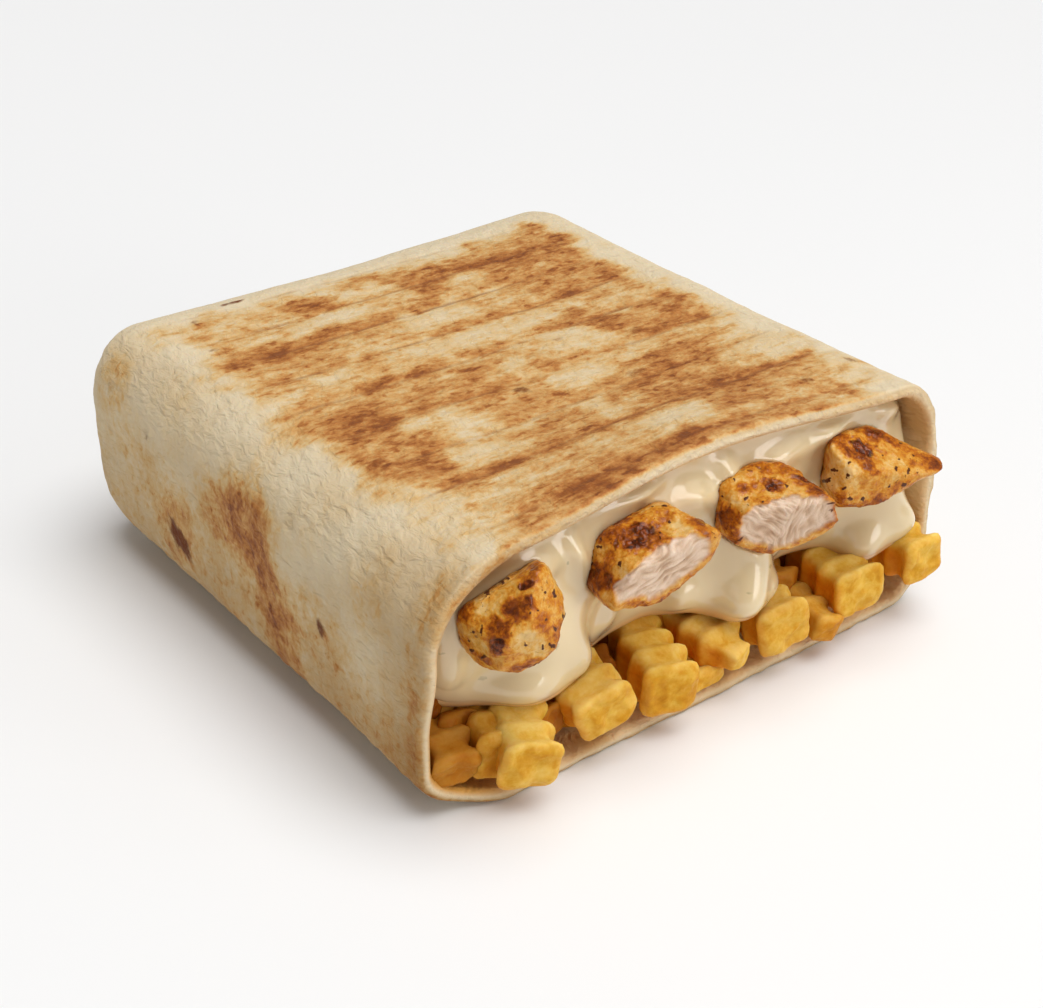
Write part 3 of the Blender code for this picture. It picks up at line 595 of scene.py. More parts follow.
def ellipse(across, up, mark):
    """0 in the middle of an ellipse (place, half sizes, angle), 1 on its rim, more beyond."""
    angle = math.radians(mark[4])
    dx, dy = across - mark[0], up - mark[1]
    along = (dx * math.cos(angle) + dy * math.sin(angle)) / mark[2]
    beside = (dy * math.cos(angle) - dx * math.sin(angle)) / mark[3]
    return np.hypot(along, beside)


def blot(across, up, mark, warp=0.0):
    """1 inside an ellipse, fading to 0 round its rim, which the warp makes ragged."""
    return fall(ellipse(across, up, mark) - warp, 1.45, 0.9)


def soft_box(x, y, box, soft):
    """1 inside a box (x from and to, y from and to), fading to 0 over that width."""
    within = 1.0
    for value, ends in ((x, box[:2]), (y, box[2:4])):
        within = within * rise(value, min(ends) - soft / 2, soft) * fall(value, max(ends) + soft / 2, soft)
    return within


def union(masks):
    """Masks laid over each other."""
    left = 1.0
    for mask in masks:
        left = left * (1 - mask)
    return 1 - left


def depth_inside(across, up, outline):
    """Distance to an outline, above 0 inside it and below 0 outside."""
    corners = np.asarray(outline, float)
    nearest = np.full(len(across), np.inf)
    crossings = np.zeros(len(across), int)
    for a, b in zip(corners, np.roll(corners, -1, 0)):
        edge = b - a
        part = np.clip(((across - a[0]) * edge[0] + (up - a[1]) * edge[1]) / (edge @ edge), 0, 1)
        gap = np.hypot(across - a[0] - part * edge[0], up - a[1] - part * edge[1])
        nearest = np.minimum(nearest, gap)
        spans = (a[1] > up) != (b[1] > up)
        crossings += spans & (across < a[0] + (up - a[1]) / (edge[1] or 1e-9) * edge[0])
    return np.where(crossings % 2 == 1, nearest, -nearest)


def outward_normals(grid, ring):
    """Unit normals of closed rings of points, away from the middle of the ring given."""
    normals = np.cross(np.gradient(grid, axis=0), np.roll(grid, -1, 1) - np.roll(grid, 1, 1))
    normals /= np.maximum(np.linalg.norm(normals, axis=2, keepdims=True), 1e-9)
    inward = normals[ring, 0] @ (grid[ring, 0] - grid[ring].mean(0)) < 0
    return -normals if inward else normals


def ring_faces(rings, columns, start=0):
    """Faces between closed rings of points."""
    faces = []
    for here in range(start, start + (rings - 1) * columns, columns):
        for step in range(columns):
            beside = here + (step + 1) % columns
            faces.append((here + step, beside, beside + columns, here + step + columns))
    return faces


def tube_faces(rings, columns, start=0):
    """Faces between closed rings of points and over both ends."""
    ends = (start, start + (rings - 1) * columns)
    return ring_faces(rings, columns, start) + [tuple(range(end, end + columns)) for end in ends]


def add_object(name, data):
    """A new object with this data, in the scene."""
    made = bpy.data.objects.new(name, data)
    bpy.context.scene.collection.objects.link(made)
    return made


def add_piece(name, points, faces, attributes, paint, node):
    """A smooth mesh piece from points in mm, riding on the body in place of its node."""
    mesh = bpy.data.meshes.new(name)
    mesh.from_pydata((np.asarray(points) * MM).tolist(), [], faces)
    for key, values in attributes.items():
        made = mesh.attributes.new(key, "FLOAT", "POINT")
        made.data.foreach_set("value", np.ascontiguousarray(values, np.float32))
    work = bmesh.new()
    work.from_mesh(mesh)
    bmesh.ops.remove_doubles(work, verts=work.verts, dist=1e-6)
    bmesh.ops.recalc_face_normals(work, faces=work.faces)
    work.to_mesh(mesh)
    work.free()
    mesh.polygons.foreach_set("use_smooth", [True] * len(mesh.polygons))
    mesh.materials.append(paint)
    piece = add_object(name, mesh)
    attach(piece, "root")
    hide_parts(node)
    return piece


# Materials


class Paint:
    """One node material, built up from sockets."""

    def __init__(self, name):
        self.material = bpy.data.materials.new(name)
        self.material.use_nodes = True
        self.tree = self.material.node_tree
        self.shader = self.tree.nodes["Principled BSDF"]
        self.place = self.node("ShaderNodeTexCoord").outputs["Object"]
        self.normal = None

    def node(self, kind, **settings):
        """A new node with these settings."""
        made = self.tree.nodes.new(kind)
        for key, value in settings.items():
            setattr(made, key, value)
        return made

    def put(self, socket, value):
        """Links a socket to another, or gives it a fixed value."""
        if isinstance(value, bpy.types.NodeSocket):
            self.tree.links.new(value, socket)
        elif isinstance(value, tuple) and socket.type == "RGBA":
            socket.default_value = (*value, 1.0)
        else:
            socket.default_value = value

    def set(self, **values):
        """Sets sockets of the shader itself."""
        for key, value in values.items():
            self.put(self.shader.inputs[key.replace("_", " ")], value)

    def math(self, operation, first, *others, clamp=False):
        """One operation on two or more values; the clamp is on the last step."""
        for index, other in enumerate(others, 1):
            made = self.node("ShaderNodeMath", operation=operation, use_clamp=clamp and index == len(others))
            self.put(made.inputs[0], first)
            self.put(made.inputs[1], other)
            first = made.outputs[0]
        return first

    def add(self, *values, clamp=False):
        """Values added up."""
        return self.math("ADD", *values, clamp=clamp)

    def times(self, *values):
        """Values multiplied."""
        return self.math("MULTIPLY", *values)

    def spread(self, value, amount):
        """A noise of 0 to 1 made to swing about 0."""
        return self.times(self.math("SUBTRACT", value, 0.5), amount)

    def attribute(self, name):
        """A value that the mesh holds at each point."""
        return self.node("ShaderNodeAttribute", attribute_name=name).outputs["Fac"]

    def noise(self, size, detail=3, rough=0.55, stretch=(1, 1, 1), turn=(0, 0, 0), warp=0.0):
        """Noise of about 0 to 1 with grains of that many millimetres."""
        mapping = self.node("ShaderNodeMapping")
        self.put(mapping.inputs["Vector"], self.place)
        mapping.inputs["Rotation"].default_value = [math.radians(a) for a in turn]
        mapping.inputs["Scale"].default_value = [1 / (MM * size * s) for s in stretch]
        made = self.node("ShaderNodeTexNoise")
        settings = {"Vector": mapping.outputs["Vector"], "Scale": 1.0, "Detail": detail,
                    "Roughness": rough, "Distortion": warp}
        for key, value in settings.items():
            self.put(made.inputs[key], value)
        return made.outputs["Fac"]

    def step(self, value, low, high, start=0.0, end=1.0):
        """A soft step from start to end while the value goes from low to high."""
        made = self.node("ShaderNodeMapRange", interpolation_type="SMOOTHSTEP")
        for socket, item in zip(made.inputs, (value, low, high, start, end)):
            self.put(socket, item)
        return made.outputs["Result"]

    def ramp(self, value, stops):
        """A colour from a value, through (place, colour) stops."""
        made = self.node("ShaderNodeValToRGB")
        self.put(made.inputs["Fac"], value)
        elements = made.color_ramp.elements
        for index, (place, colour) in enumerate((stops[0], stops[-1], *stops[1:-1])):
            element = elements[index] if index < 2 else elements.new(place)
            element.position = place
            element.color = (*colour, 1.0)
        return made.outputs["Color"]

    def mix(self, amount, a, b, kind="MIX"):
        """Two colours mixed by an amount."""
        made = self.node("ShaderNodeMix", data_type="RGBA", blend_type=kind)
        for index, value in ((0, amount), (6, a), (7, b)):
            self.put(made.inputs[index], value)
        return made.outputs[2]

    def bump(self, height, distance, strength=1.0):
        """Adds fine relief, `distance` millimetres deep."""
        made = self.node("ShaderNodeBump")
        made.inputs["Strength"].default_value = strength
        made.inputs["Distance"].default_value = distance * MM
        self.put(made.inputs["Height"], height)
        if self.normal is not None:
            self.put(made.inputs["Normal"], self.normal)
        self.normal = made.outputs["Normal"]
        self.put(self.shader.inputs["Normal"], self.normal)

    def waxy(self, weight, radius, scale):
        """Lets light in below the surface, `scale` millimetres deep."""
        self.set(Subsurface_Weight=weight, Subsurface_Scale=scale * MM)
        self.shader.inputs["Subsurface Radius"].default_value = radius


def wrap_paint():
    """Wheat dough: cream, blotched with toast, with burnt spots and dark press lines, painted shade on the
    sides and inside, and a painted glow inside the mouth.
    """
    paint = Paint("wrap")
    toast = paint.attribute("toast")
    blotch = paint.noise(5.2, 4, 0.62, (1.35, 0.85, 1), warp=0.2)
    grain = paint.noise(1.5, 4, 0.64, (1.3, 0.85, 1))
    streak = paint.noise(1.6, 2, 0.5, (3.5, 0.8, 1))
    uneven = paint.add(paint.spread(blotch, 1.15), paint.spread(grain, 0.75), paint.spread(streak, 0.22))
    freckle = paint.step(paint.noise(2.4, 2, 0.5, (1.5, 0.8, 1), warp=0.4), 0.55, 0.68)
    freckle = paint.times(freckle, paint.step(toast, 0.02, 0.25, 0.0, 0.18))
    level = paint.times(uneven, paint.step(toast, 0.0, 0.40, 0.12, 0.95))
    level = paint.add(level, freckle, toast, clamp=True)
    spot = paint.add(paint.attribute("spot"), paint.spread(grain, 0.55))
    colour = paint.mix(paint.step(spot, 0.30, 0.95), paint.ramp(level, TOAST_RAMP), BURNT_SPOT)
    off = paint.add(paint.attribute("line"), paint.spread(paint.noise(9, 2, 0.5), 1.4))
    thin = paint.step(paint.math("ABSOLUTE", off, 0.0), 0.10, 0.85, 0.62, 0.0)
    broken = paint.step(paint.noise(5.0, 2, 0.6, (1.6, 1, 1)), 0.30, 0.58)
    colour = paint.mix(paint.times(thin, paint.attribute("press"), broken), colour, PRESS_LINE)
    # The inside takes the lining colours, darkened and warmed as painted shade
    shaded_lining = paint.mix(paint.step(paint.noise(9, 3, 0.6), 0.35, 0.65), *SHADED_LINING)
    # Painted glow of bounced light on the inside, at the left and low down
    shaded_lining = paint.mix(paint.attribute("painted_glow"), shaded_lining, LINING_PAINTED_GLOW)
    colour = paint.mix(paint.times(paint.attribute("inner"), 0.95), colour, shaded_lining)
    # Painted shade: the sides and the turned-in lip made darker
    colour = paint.mix(paint.attribute("painted_shade"), colour, paint.mix(1.0, colour, WRAP_PAINTED_SHADE, "MULTIPLY"))
    paint.set(Base_Color=colour, Roughness=paint.step(level, 0.0, 1.0, 0.68, 0.52), Specular_IOR_Level=0.11)
    paint.waxy(0.12, (1.0, 0.55, 0.25), 1.6)
    crease = paint.noise(2.1, 3, 0.55, (1, 1.7, 0.8), (38, 0, 0), warp=0.5)
    paint.bump(crease, 0.85, 1.0)
    paint.bump(grain, 0.16, 0.7)
    return paint.material


def sauce_paint():
    """Thick cheese sauce: smooth, glossy and a little waxy, warmer along its thin lower edge as a painted
    glow of light bounced from the fries.
    """
    paint = Paint("sauce")
    colour = paint.mix(paint.noise(14, 3, 0.5), *SAUCE)
    # Painted glow of bounced light along the lower edge, held in the attribute rim
    colour = paint.mix(paint.times(paint.attribute("rim"), 0.85), colour, SAUCE_PAINTED_GLOW)
    fleck = paint.add(paint.attribute("herb"), paint.spread(paint.noise(0.8, 3, 0.6), 0.9))
    colour = paint.mix(paint.step(fleck, 0.45, 1.0, 0.0, 0.45), colour, HERB)
    paint.set(Base_Color=colour, Roughness=0.16, Specular_IOR_Level=0.50)
    paint.set(Coat_Weight=0.7, Coat_Roughness=0.06)
    paint.waxy(0.22, (1.0, 0.70, 0.42), 2.0)
    return paint.material


def fries_paint():
    """Fried potato: golden, lighter on top, with painted orange-brown shade on the sides, in the valleys and
    deeper in, and fine blisters.
    """
    paint = Paint("fries")
    cloud = paint.noise(4.2, 4, 0.6, warp=0.5)
    patch = paint.noise(2.1, 3, 0.55, warp=0.6)
    grain = paint.noise(0.8, 3, 0.6)
    # Painted shade in the valleys between the ridges
    hollow = paint.times(paint.math("SUBTRACT", 1.0, paint.attribute("ridge")), 0.16)
    level = paint.add(hollow, paint.spread(cloud, 1.05), paint.spread(patch, 0.42),
                      paint.spread(grain, 0.30), paint.attribute("tone_and_light"), clamp=True)
    # Lit and shaded colours, mixed by painted shade
    colour = paint.mix(paint.attribute("fry_painted_shade"), paint.ramp(level, FRY_LIT), paint.ramp(level, FRY_SHADED))
    edge = paint.times(paint.attribute("edge"), paint.step(cloud, 0.25, 0.60, 0.15, 0.70))
    # Painted deep shade darkens shaded fries and those deeper in, held in the attribute dark
    colour = paint.mix(paint.attribute("dark"), paint.mix(edge, colour, FRY_EDGE), FRY_PAINTED_DEEP_SHADE)
    paint.set(Base_Color=colour, Roughness=paint.step(grain, 0.3, 0.7, 0.42, 0.60), Specular_IOR_Level=0.10)
    paint.waxy(0.25, (1.0, 0.42, 0.08), 1.8)
    paint.bump(patch, 0.20, 0.6)
    paint.bump(grain, 0.12, 0.6)
    return paint.material


def chicken_paint():
    """Grilled chicken: golden crust, glossy char, herb specks and pinkish cut fibres."""
    paint = Paint("chicken")
    cut = paint.attribute("cut")
    cloud = paint.noise(3.0, 4, 0.62, warp=0.6)
    mottle = paint.noise(1.3, 3, 0.6, warp=0.5)
    grain = paint.noise(0.5, 3, 0.62)
    ragged = paint.spread(mottle, 0.75)
    fine = paint.spread(grain, 0.45)
    browned = paint.times(paint.attribute("brown"), 0.52)
    level = paint.add(browned, 0.36, paint.spread(cloud, 1.2), ragged, fine)
    level = paint.math("SUBTRACT", level, paint.times(paint.attribute("pale"), 0.34), clamp=True)
    meat = paint.ramp(paint.attribute("fibre"), MEAT_RAMP)
    colour = paint.mix(cut, paint.ramp(level, CRUST_RAMP), meat)
    burnt = paint.step(paint.add(paint.attribute("char"), paint.times(ragged, 0.8), fine), 0.40, 0.90)
    colour = paint.mix(burnt, colour, paint.ramp(paint.add(mottle, fine), SOOT_RAMP))
    speck = paint.add(paint.attribute("speck"), paint.times(fine, 1.3))
    colour = paint.mix(paint.step(speck, 0.40, 0.85), colour, SPECK)
    flecks = paint.step(paint.noise(0.75, 2, 0.5, warp=0.4), 0.655, 0.70)
    patchy = paint.step(paint.noise(6, 2, 0.5), 0.42, 0.58)
    flecks = paint.times(flecks, patchy, paint.step(cut, 0.0, 0.4, 0.85, 0.0))
    rough = paint.add(paint.times(burnt, -0.18), paint.step(cut, 0, 1, 0.44, 0.55))
    paint.set(Base_Color=paint.mix(flecks, colour, FLECK), Roughness=rough, Specular_IOR_Level=0.10)
    paint.set(Coat_Weight=paint.step(mottle, 0.35, 0.70, 0.05, 0.45), Coat_Roughness=0.12)
    paint.waxy(0.12, (1.0, 0.45, 0.20), 1.2)
    paint.bump(mottle, 0.30, 0.7)
    paint.bump(grain, 0.16, 0.8)
    return paint.material


# The wrap


def pinch(y, skin):
    """How far the back end has closed in at y, from 0 to 1, on the surface `skin` inside."""
    return quarter_turn((y - (BACK_Y - BACK_ROUNDING)) / (BACK_ROUNDING - skin))


def sides(y, skin):
    """Left, right and bottom of the parcel's section at y, `skin` inside its outer face."""
    closed = pinch(y, skin)
    left = -WIDTH / 2 + skin + closed * (BACK_INSET_LEFT - skin)
    right = WIDTH / 2 - skin - closed * (BACK_INSET_RIGHT - skin)
    return left, right, skin + closed * (BACK_INSET_BOTTOM - skin)


def roof(x, y, skin):
    """Height of the flat roof over x and y, before its edges round off."""
    inset = BACK_INSET_TOP + BACK_INSET_TOP_SLOPE * x / (WIDTH / 2)
    return HEIGHT - skin - pinch(y, skin) * (inset - skin)


def edge_radii(index, y, skin):
    """Radii of one long edge at y, `skin` inside the outer face."""
    _, mouth, back = LONG_EDGES[index]
    along = min(max((y - MOUTH_Y) / LENGTH, 0.0), 1.0)
    keep = 1 - EDGE_TIGHTENING * pinch(y, skin)
    return [keep * (a + (b - a) * along - SKIN_ROUNDING * skin) for a, b in zip(mouth, back)]


def section(y, skin):
    """The closed loop of (x, z) round the parcel at y, `skin` inside its outer face."""
    left, right, bottom = sides(y, skin)
    arcs = []
    for index, ((side, level), _, _) in enumerate(LONG_EDGES):
        across, up = edge_radii(index, y, skin)
        centre_x = left + across if side < 0 else right - across
        rim = roof(centre_x, y, skin) if level else bottom
        centre_z = rim - up if level else rim + up
        angles = np.radians(180 + 90 * index + 90 * np.arange(EDGE_STEPS + 1) / EDGE_STEPS)
        arcs.append(np.stack([centre_x + across * np.cos(angles), centre_z + up * np.sin(angles)], 1))
    loop = []
    for arc, following, count in zip(arcs, arcs[1:] + arcs[:1], RUN_STEPS):
        parts = np.arange(1, count)[:, None] / count
        loop += [arc, arc[-1] + (following[0] - arc[-1]) * parts]
    return np.concatenate(loop)


def height_span(x, y, skin):
    """Lowest and highest z inside the parcel over x and y, `skin` inside its outer face."""
    left, right, low = sides(y, skin)
    high = roof(x, y, skin)
    for index, ((side, level), _, _) in enumerate(LONG_EDGES):
        across, up = edge_radii(index, y, skin)
        past = (left + across - x) if side < 0 else (x - (right - across))
        drop = up * quarter_turn(past / across)
        high, low = (high - drop, low) if level else (high, low + drop)
    return low, high


def settle(points):
    """Points of the stiff parcel moved to where the soft one has them."""
    x, y, z = np.moveaxis(np.asarray(points, float), -1, 0)
    up = np.clip(z / HEIGHT, 0, 1)
    near_mouth = smooth(1 - (y - MOUTH_Y) / MOUTH_REACH)
    across = np.minimum(np.abs(x - ROOF_CENTRE_X) / ROOF_HALF_WIDTH, 1)
    crown = np.cos(across * math.pi / 2) ** 2
    middle = np.cos(np.minimum(np.abs(x) / (WIDTH / 2), 1) * math.pi / 2)
    waist = SIDE_WAIST * np.cos(math.pi * y / LENGTH) * x / (WIDTH / 2)
    lift = ROOF_SWELL * near_mouth * crown - ROOF_SAG * (1 - near_mouth) * middle
    low_left = fall(x, *LOW_LEFT_ACROSS) * fall(z, *LOW_LEFT_UP)
    back = (ROOF_SET_BACK * crown * up ** 2 + LEFT_SET_BACK * low_left) * near_mouth ** 3
    return np.stack([x - waist, y + back, z + lift * up], -1)


def wrap_stations():
    """Rings of the wrap from its closed back over the lip to the inside: y, skin, squash."""
    straight, lip = BACK_Y - BACK_ROUNDING, MOUTH_Y + WALL / 2
    rings = [(BACK_Y, 0.0, math.sin(math.pi / 2 * step / CAP_STEPS)) for step in range(CAP_STEPS)]
    bend = int(BACK_ROUNDING * math.pi / 2 / RING_PITCH)
    for step in range(bend):
        rings.append((straight + BACK_ROUNDING * math.cos(math.pi / 2 * step / bend), 0.0, 1.0))
    runs = [y for y in np.arange(straight, lip, -RING_PITCH)
            if min(abs(y - line) for line, _ in PRESS_LINES) > LINE_CLEARANCE]
    runs += [line + off for line, _ in PRESS_LINES for off in LINE_RINGS]
    rings += [(y, 0.0, 1.0) for y in sorted(runs, reverse=True) if y > lip + LIP_CLEARANCE]
    for angle in np.linspace(0, math.pi, LIP_STEPS + 1):
        rings.append((MOUTH_Y + WALL / 2 * (1 - math.sin(angle)), WALL / 2 * (1 - math.cos(angle)), 1.0))
    deep = [lip + INNER_PITCH * step for step in range(1, INNER_RINGS + 1)] + list(DEEP_RINGS)
    for angle in np.linspace(0, math.pi / 2, DEEP_BEND_STEPS + 1)[1:]:
        deep.append(straight + (BACK_ROUNDING - WALL) * math.sin(angle))
    rings += [(y, WALL, 1.0) for y in deep]
    return rings + [(BACK_Y - WALL, WALL, 0.5), (BACK_Y - WALL, WALL, 0.0)]


def wrap_surface():
    """The plain surface of the wrap, and how far each point looks up, down, left or elsewhere."""
    stations = wrap_stations()
    rings = []
    for y, skin, squash in stations:
        loop = section(y, skin)
        middle = (loop[:, 1].max() + loop[:, 1].min()) / 2
        height = middle + (loop[:, 1] - middle) * squash
        rings.append(np.stack([loop[:, 0], np.full(len(loop), y), height], 1))
    grid = settle(rings)
    wrap = SimpleNamespace(shape=grid.shape[:2], points=grid.reshape(-1, 3))
    normal = wrap.normal = outward_normals(grid, PROBE_RING).reshape(-1, 3)
    _, wrap.skin, wrap.squash = np.repeat(stations, len(rings[0]), axis=0).T
    outer = wrap.outer = smooth(1 - wrap.skin / (WALL / 2) * 0.8)
    wrap.top = rise(normal[:, 2], *FACING_UP) * outer
    wrap.bottom = rise(-normal[:, 2], *FACING_UP) * outer
    wrap.left = rise(-normal[:, 0], *FACING_LEFT) * outer
    wrap.rest = np.clip(1 - wrap.top - wrap.bottom - wrap.left, 0, 1) * outer
    wrap.sides = wrap.left + wrap.rest
    x, y, z = wrap.points.T
    wrap.turned_in = smooth(1 - np.abs(wrap.skin - WALL / 2) / TURNED_IN_WIDTH)
    wrap.turned_in *= fall(y, MOUTH_Y + TURNED_IN_REACH, TURNED_IN_REACH)
    wrap.turned_in *= (0.25 + 0.75 * rise(z, *TURNED_IN_UP)) * (1 - 0.7 * rise(x, *TURNED_IN_RIGHT))
    return wrap


def wrap_toast(wrap):
    """Toast: patches and bands on the pressed faces, clouds on the left, a little elsewhere, with painted
    shade on the sides and a painted glow along the lip on the left.
    """
    points = wrap.points
    x, y, z = points.T
    warp, warp_y = layered(points, TOAST_WARP), layered(points, TOAST_WARP_ALONG)
    patches = union(box[4] * soft_box(x + warp, y + warp_y, box, TOAST_SOFT) for box in TOAST)
    paler = union(PALE_STRENGTH * soft_box(x + warp, y + warp_y, box, PALE_SOFT) for box in PALE)
    pressed = soft_box(x + 2 * warp, y + 2 * warp_y, TOAST_BASE, BASE_SOFT)
    near_line = np.min([np.abs(y - line) / (0.4 + strength) for line, strength in PRESS_LINES], axis=0)
    over = (ROOF_TOAST + PATCH_TOAST * patches) * pressed * (1 - paler)
    over = over * (1 + LINE_TOAST * bell(near_line, LINE_TOAST_WIDTH))
    over = over + FRONT_TOAST * fall(y, *FRONT_BAND_Y) * fall(np.abs(x - FRONT_BAND_X), *FRONT_BAND_HALF)
    under = (UNDER_TOAST[0] + UNDER_TOAST[1] * smooth(0.5 + noise(points, *UNDER_CLOUDS))) * pressed
    clouds = union(mark[5] * blot(y + warp, z + warp_y, mark) for mark in LEFT_CLOUDS)
    # Brown clouds on the left face, and the painted glow along the lip
    left = CLOUD_TOAST * clouds + LIP_PAINTED_GLOW * smooth(1 - np.abs(y - LIP_BAND_Y) / LIP_BAND_WIDTH)
    stray = STRAY_TOAST * rise(noise(points, *STRAY_CLOUDS), *STRAY_LEVEL)
    # Painted shade on the sides, as extra toast that grows towards the bottom
    even, low, patchy = SIDE_PAINTED_SHADE
    side_shade = even + low * fall(z, *SIDE_PAINTED_SHADE_UP) + patchy * noise(points, *SIDE_SHADE_CLOUDS)
    toast = over * wrap.top + under * wrap.bottom + left * wrap.left + stray * wrap.rest
    return toast + side_shade * wrap.sides + TURNED_IN_TOAST * wrap.turned_in + LEAST_TOAST * wrap.outer


def wrap_spots(wrap):
    """Burnt spots, and stray ones on the faces that the list doesn't describe."""
    x, y, z = wrap.points.T
    faces = {"top": (wrap.top, x, y), "left": (wrap.left, y, z)}
    ragged = layered(wrap.points, SPOT_WARP)
    spots = []
    for face, *mark in SPOTS:
        weight, across, up = faces[face]
        spots.append(mark[5] * blot(across, up, mark, ragged) * weight)
    strays = rise(noise(wrap.points, *STRAY_SPOTS), *STRAY_SPOT_LEVEL)
    strays = strays * STRAY_SPOT_STRENGTH * (wrap.rest + wrap.bottom)
    return np.maximum(union(spots), strays)


def wrap_lines(wrap):
    """Distance to the nearest press line, how strongly it shows, and where the wrap is pressed."""
    x, y, _ = wrap.points.T
    lines = np.array([line for line, _ in PRESS_LINES])
    nearest = np.abs(y[:, None] - lines).argmin(1)
    distance = y - lines[nearest]
    strength = np.array([strength for _, strength in PRESS_LINES])[nearest]
    reach = fall(np.abs(x - PRESSED_X) - layered(wrap.points, PRESSED_WARP), *PRESSED_HALF)
    pressed = (wrap.top + wrap.bottom) * reach
    fading = smooth(0.75 + layered(wrap.points, LINE_FADING))
    return distance, strength * pressed * fading, pressed


def wrap_relief(wrap, spot, distance, press, pressed):
    """Swells, wrinkles, press lines, spots and pits, calmer towards the closed back."""
    points = wrap.points
    y, z = points[:, 1], points[:, 2]
    slanted = turned(points[:, (1, 2, 0)], WRINKLE_TURN)
    relief = layered(points, WRAP_SWELL) * (wrap.top + wrap.sides) + layered(slanted, WRINKLES) * wrap.sides
    relief += layered(points, PRESSED_WRINKLES) * (wrap.top + wrap.bottom)
    relief -= LINE_DEPTH * bell(distance + layered(points, LINE_WOBBLE), LINE_WIDTH) * press
    relief -= LAND_HEIGHT * np.cos(np.pi * np.clip(distance / LAND_WIDTH, -1, 1)) * pressed
    relief += SPOT_HEIGHT * spot
    for mark in PITS:
        relief -= PIT_DEPTH * blot(y, z, mark) * wrap.left
    relief += layered(points, LIP_WAVES) * smooth(1 - np.abs(y - MOUTH_Y) / LIP_WAVE_REACH)
    closing = np.where(wrap.skin > WALL / 2, INNER_RELIEF, 1 - BACK_CALM * rise(y, *BACK_CALM_Y))
    return relief * closing * smooth(wrap.squash * 1.4)


def build_wrap():
    """The tortilla: its surface with toast, burnt spots, press lines and wrinkles."""
    wrap = wrap_surface()
    x, y, z = wrap.points.T
    spot = wrap_spots(wrap)
    distance, press, pressed = wrap_lines(wrap)
    # Painted shade on the sides, deeper low down and towards the mouth, and a little on the turned-in lip
    painted_shade = 0.05 + 0.52 * fall(z, *PAINTED_SHADE_LOW) + 0.50 * fall(y, *PAINTED_SHADE_FRONT) + layered(wrap.points, PAINTED_SHADE_CLOUDS)
    attributes = {
        "toast": wrap_toast(wrap), "spot": spot, "press": press,
        "painted_shade": painted_shade * wrap.sides + 0.15 * wrap.turned_in,
        # The inside, and the painted glow of bounced light on it
        "inner": rise(wrap.skin, *INNER_SKIN), "painted_glow": fall(x, *PAINTED_GLOW_LEFT) * fall(z, *PAINTED_GLOW_LOW),
    }
    attributes = {key: np.clip(values, 0, 1) for key, values in attributes.items()}
    relief = wrap_relief(wrap, spot, distance, press, pressed)
    points = wrap.points + wrap.normal * relief[:, None]
    points[:, 2] = np.maximum(points[:, 2], FLOOR_GAP)
    add_piece("wrap", points, ring_faces(*wrap.shape), {**attributes, "line": distance},
              wrap_paint(), "tortilla")


# The chicken


def lump_turn():
    """The turn of every lump, as a matrix."""
    tilt = Matrix.Rotation(math.radians(-CHICKEN_TILT), 3, "X")
    return np.array(Matrix.Rotation(math.radians(CHICKEN_YAW), 3, "Z") @ tilt)


def lump_reach(directions, facets):
    """Distance from a lump's centre to its rounded, many-sided surface along directions."""
    total = np.zeros(len(directions))
    for around, lean, distance in facets:
        around, lean = math.radians(around), math.radians(lean)
        facet = np.array([math.cos(around) * math.cos(lean), -math.sin(lean),
                          math.sin(around) * math.cos(lean)])
        total += np.maximum(directions @ facet / distance, 0) ** CHICKEN_CRISPNESS
    return total ** (-1 / CHICKEN_CRISPNESS)


def sphere_points(fineness):
    """Unit directions evenly over a sphere, and their triangles."""
    work = bmesh.new()
    bmesh.ops.create_icosphere(work, subdivisions=fineness, radius=1.0)
    points = np.array([vertex.co for vertex in work.verts])
    faces = [tuple(vertex.index for vertex in face.verts) for face in work.faces]
    work.free()
    return points / np.linalg.norm(points, axis=1, keepdims=True), faces


def lump_marks(lump, marks, hidden):
    """Marks where the lump shows, and others of their kind where it doesn't."""
    strength, seed, size, level = hidden
    others = rise(noise(lump.directions * 10 + 50 * lump.index, size, seed), level, 0.25)
    return np.maximum(marks * lump.seen, strength * others * (1 - lump.seen))


def listed_marks(lump, table, ragged):
    """The marks that a table lists for this lump, with ragged edges."""
    warp = ragged * layered(lump.seedling, MARK_WARP)
    return union(mark[5] * blot(lump.across, lump.up, mark, warp) for mark in table[lump.index])


def lump_specks(lump):
    """The dark specks listed for this lump."""
    specks = np.zeros(len(lump.across))
    ragged = layered(lump.seedling, SPECK_WARP)
    for x, z, wide, high, angle in SPECKS[lump.index]:
        mark = (x, z, SPECK_SCALE * wide, SPECK_SCALE * high, angle)
        specks = np.maximum(specks, blot(lump.across, lump.up, mark, ragged))
    return specks


def lump_cut(lump):
    """Where the lump is cut, the raised rim of the cut, and the fibres that it shows."""
    blank = np.zeros(len(lump.across))
    if not CUTS[lump.index]:
        return blank, blank, blank
    outline, *runs = CUTS[lump.index]
    warps = [layered(lump.seedling, layers) for layers in CUT_WARP]
    depth = depth_inside(lump.across + warps[0], lump.up + warps[1], outline)
    cut = smooth(depth / CUT_SOFT + 0.5) * lump.seen
    rim = bell(depth + CUT_RIM_OUT, CUT_RIM_WIDTH) * lump.seen
    plane = np.stack([lump.across, lump.up, blank], 1)
    strands = []
    for run in runs:
        strand = turned(plane, run)
        strand[:, 1] += layered(lump.seedling, FIBRE_SWAY)
        strands.append(layered(strand, FIBRES))
    blend = rise(lump.across - FIBRE_SEAM_SLOPE * lump.up, *FIBRE_SEAM)
    fibre = strands[0] * (1 - blend) + strands[1] * blend
    return cut, rim, np.tanh(FIBRE_CONTRAST * fibre) + layered(lump.seedling, FIBRE_TONE)


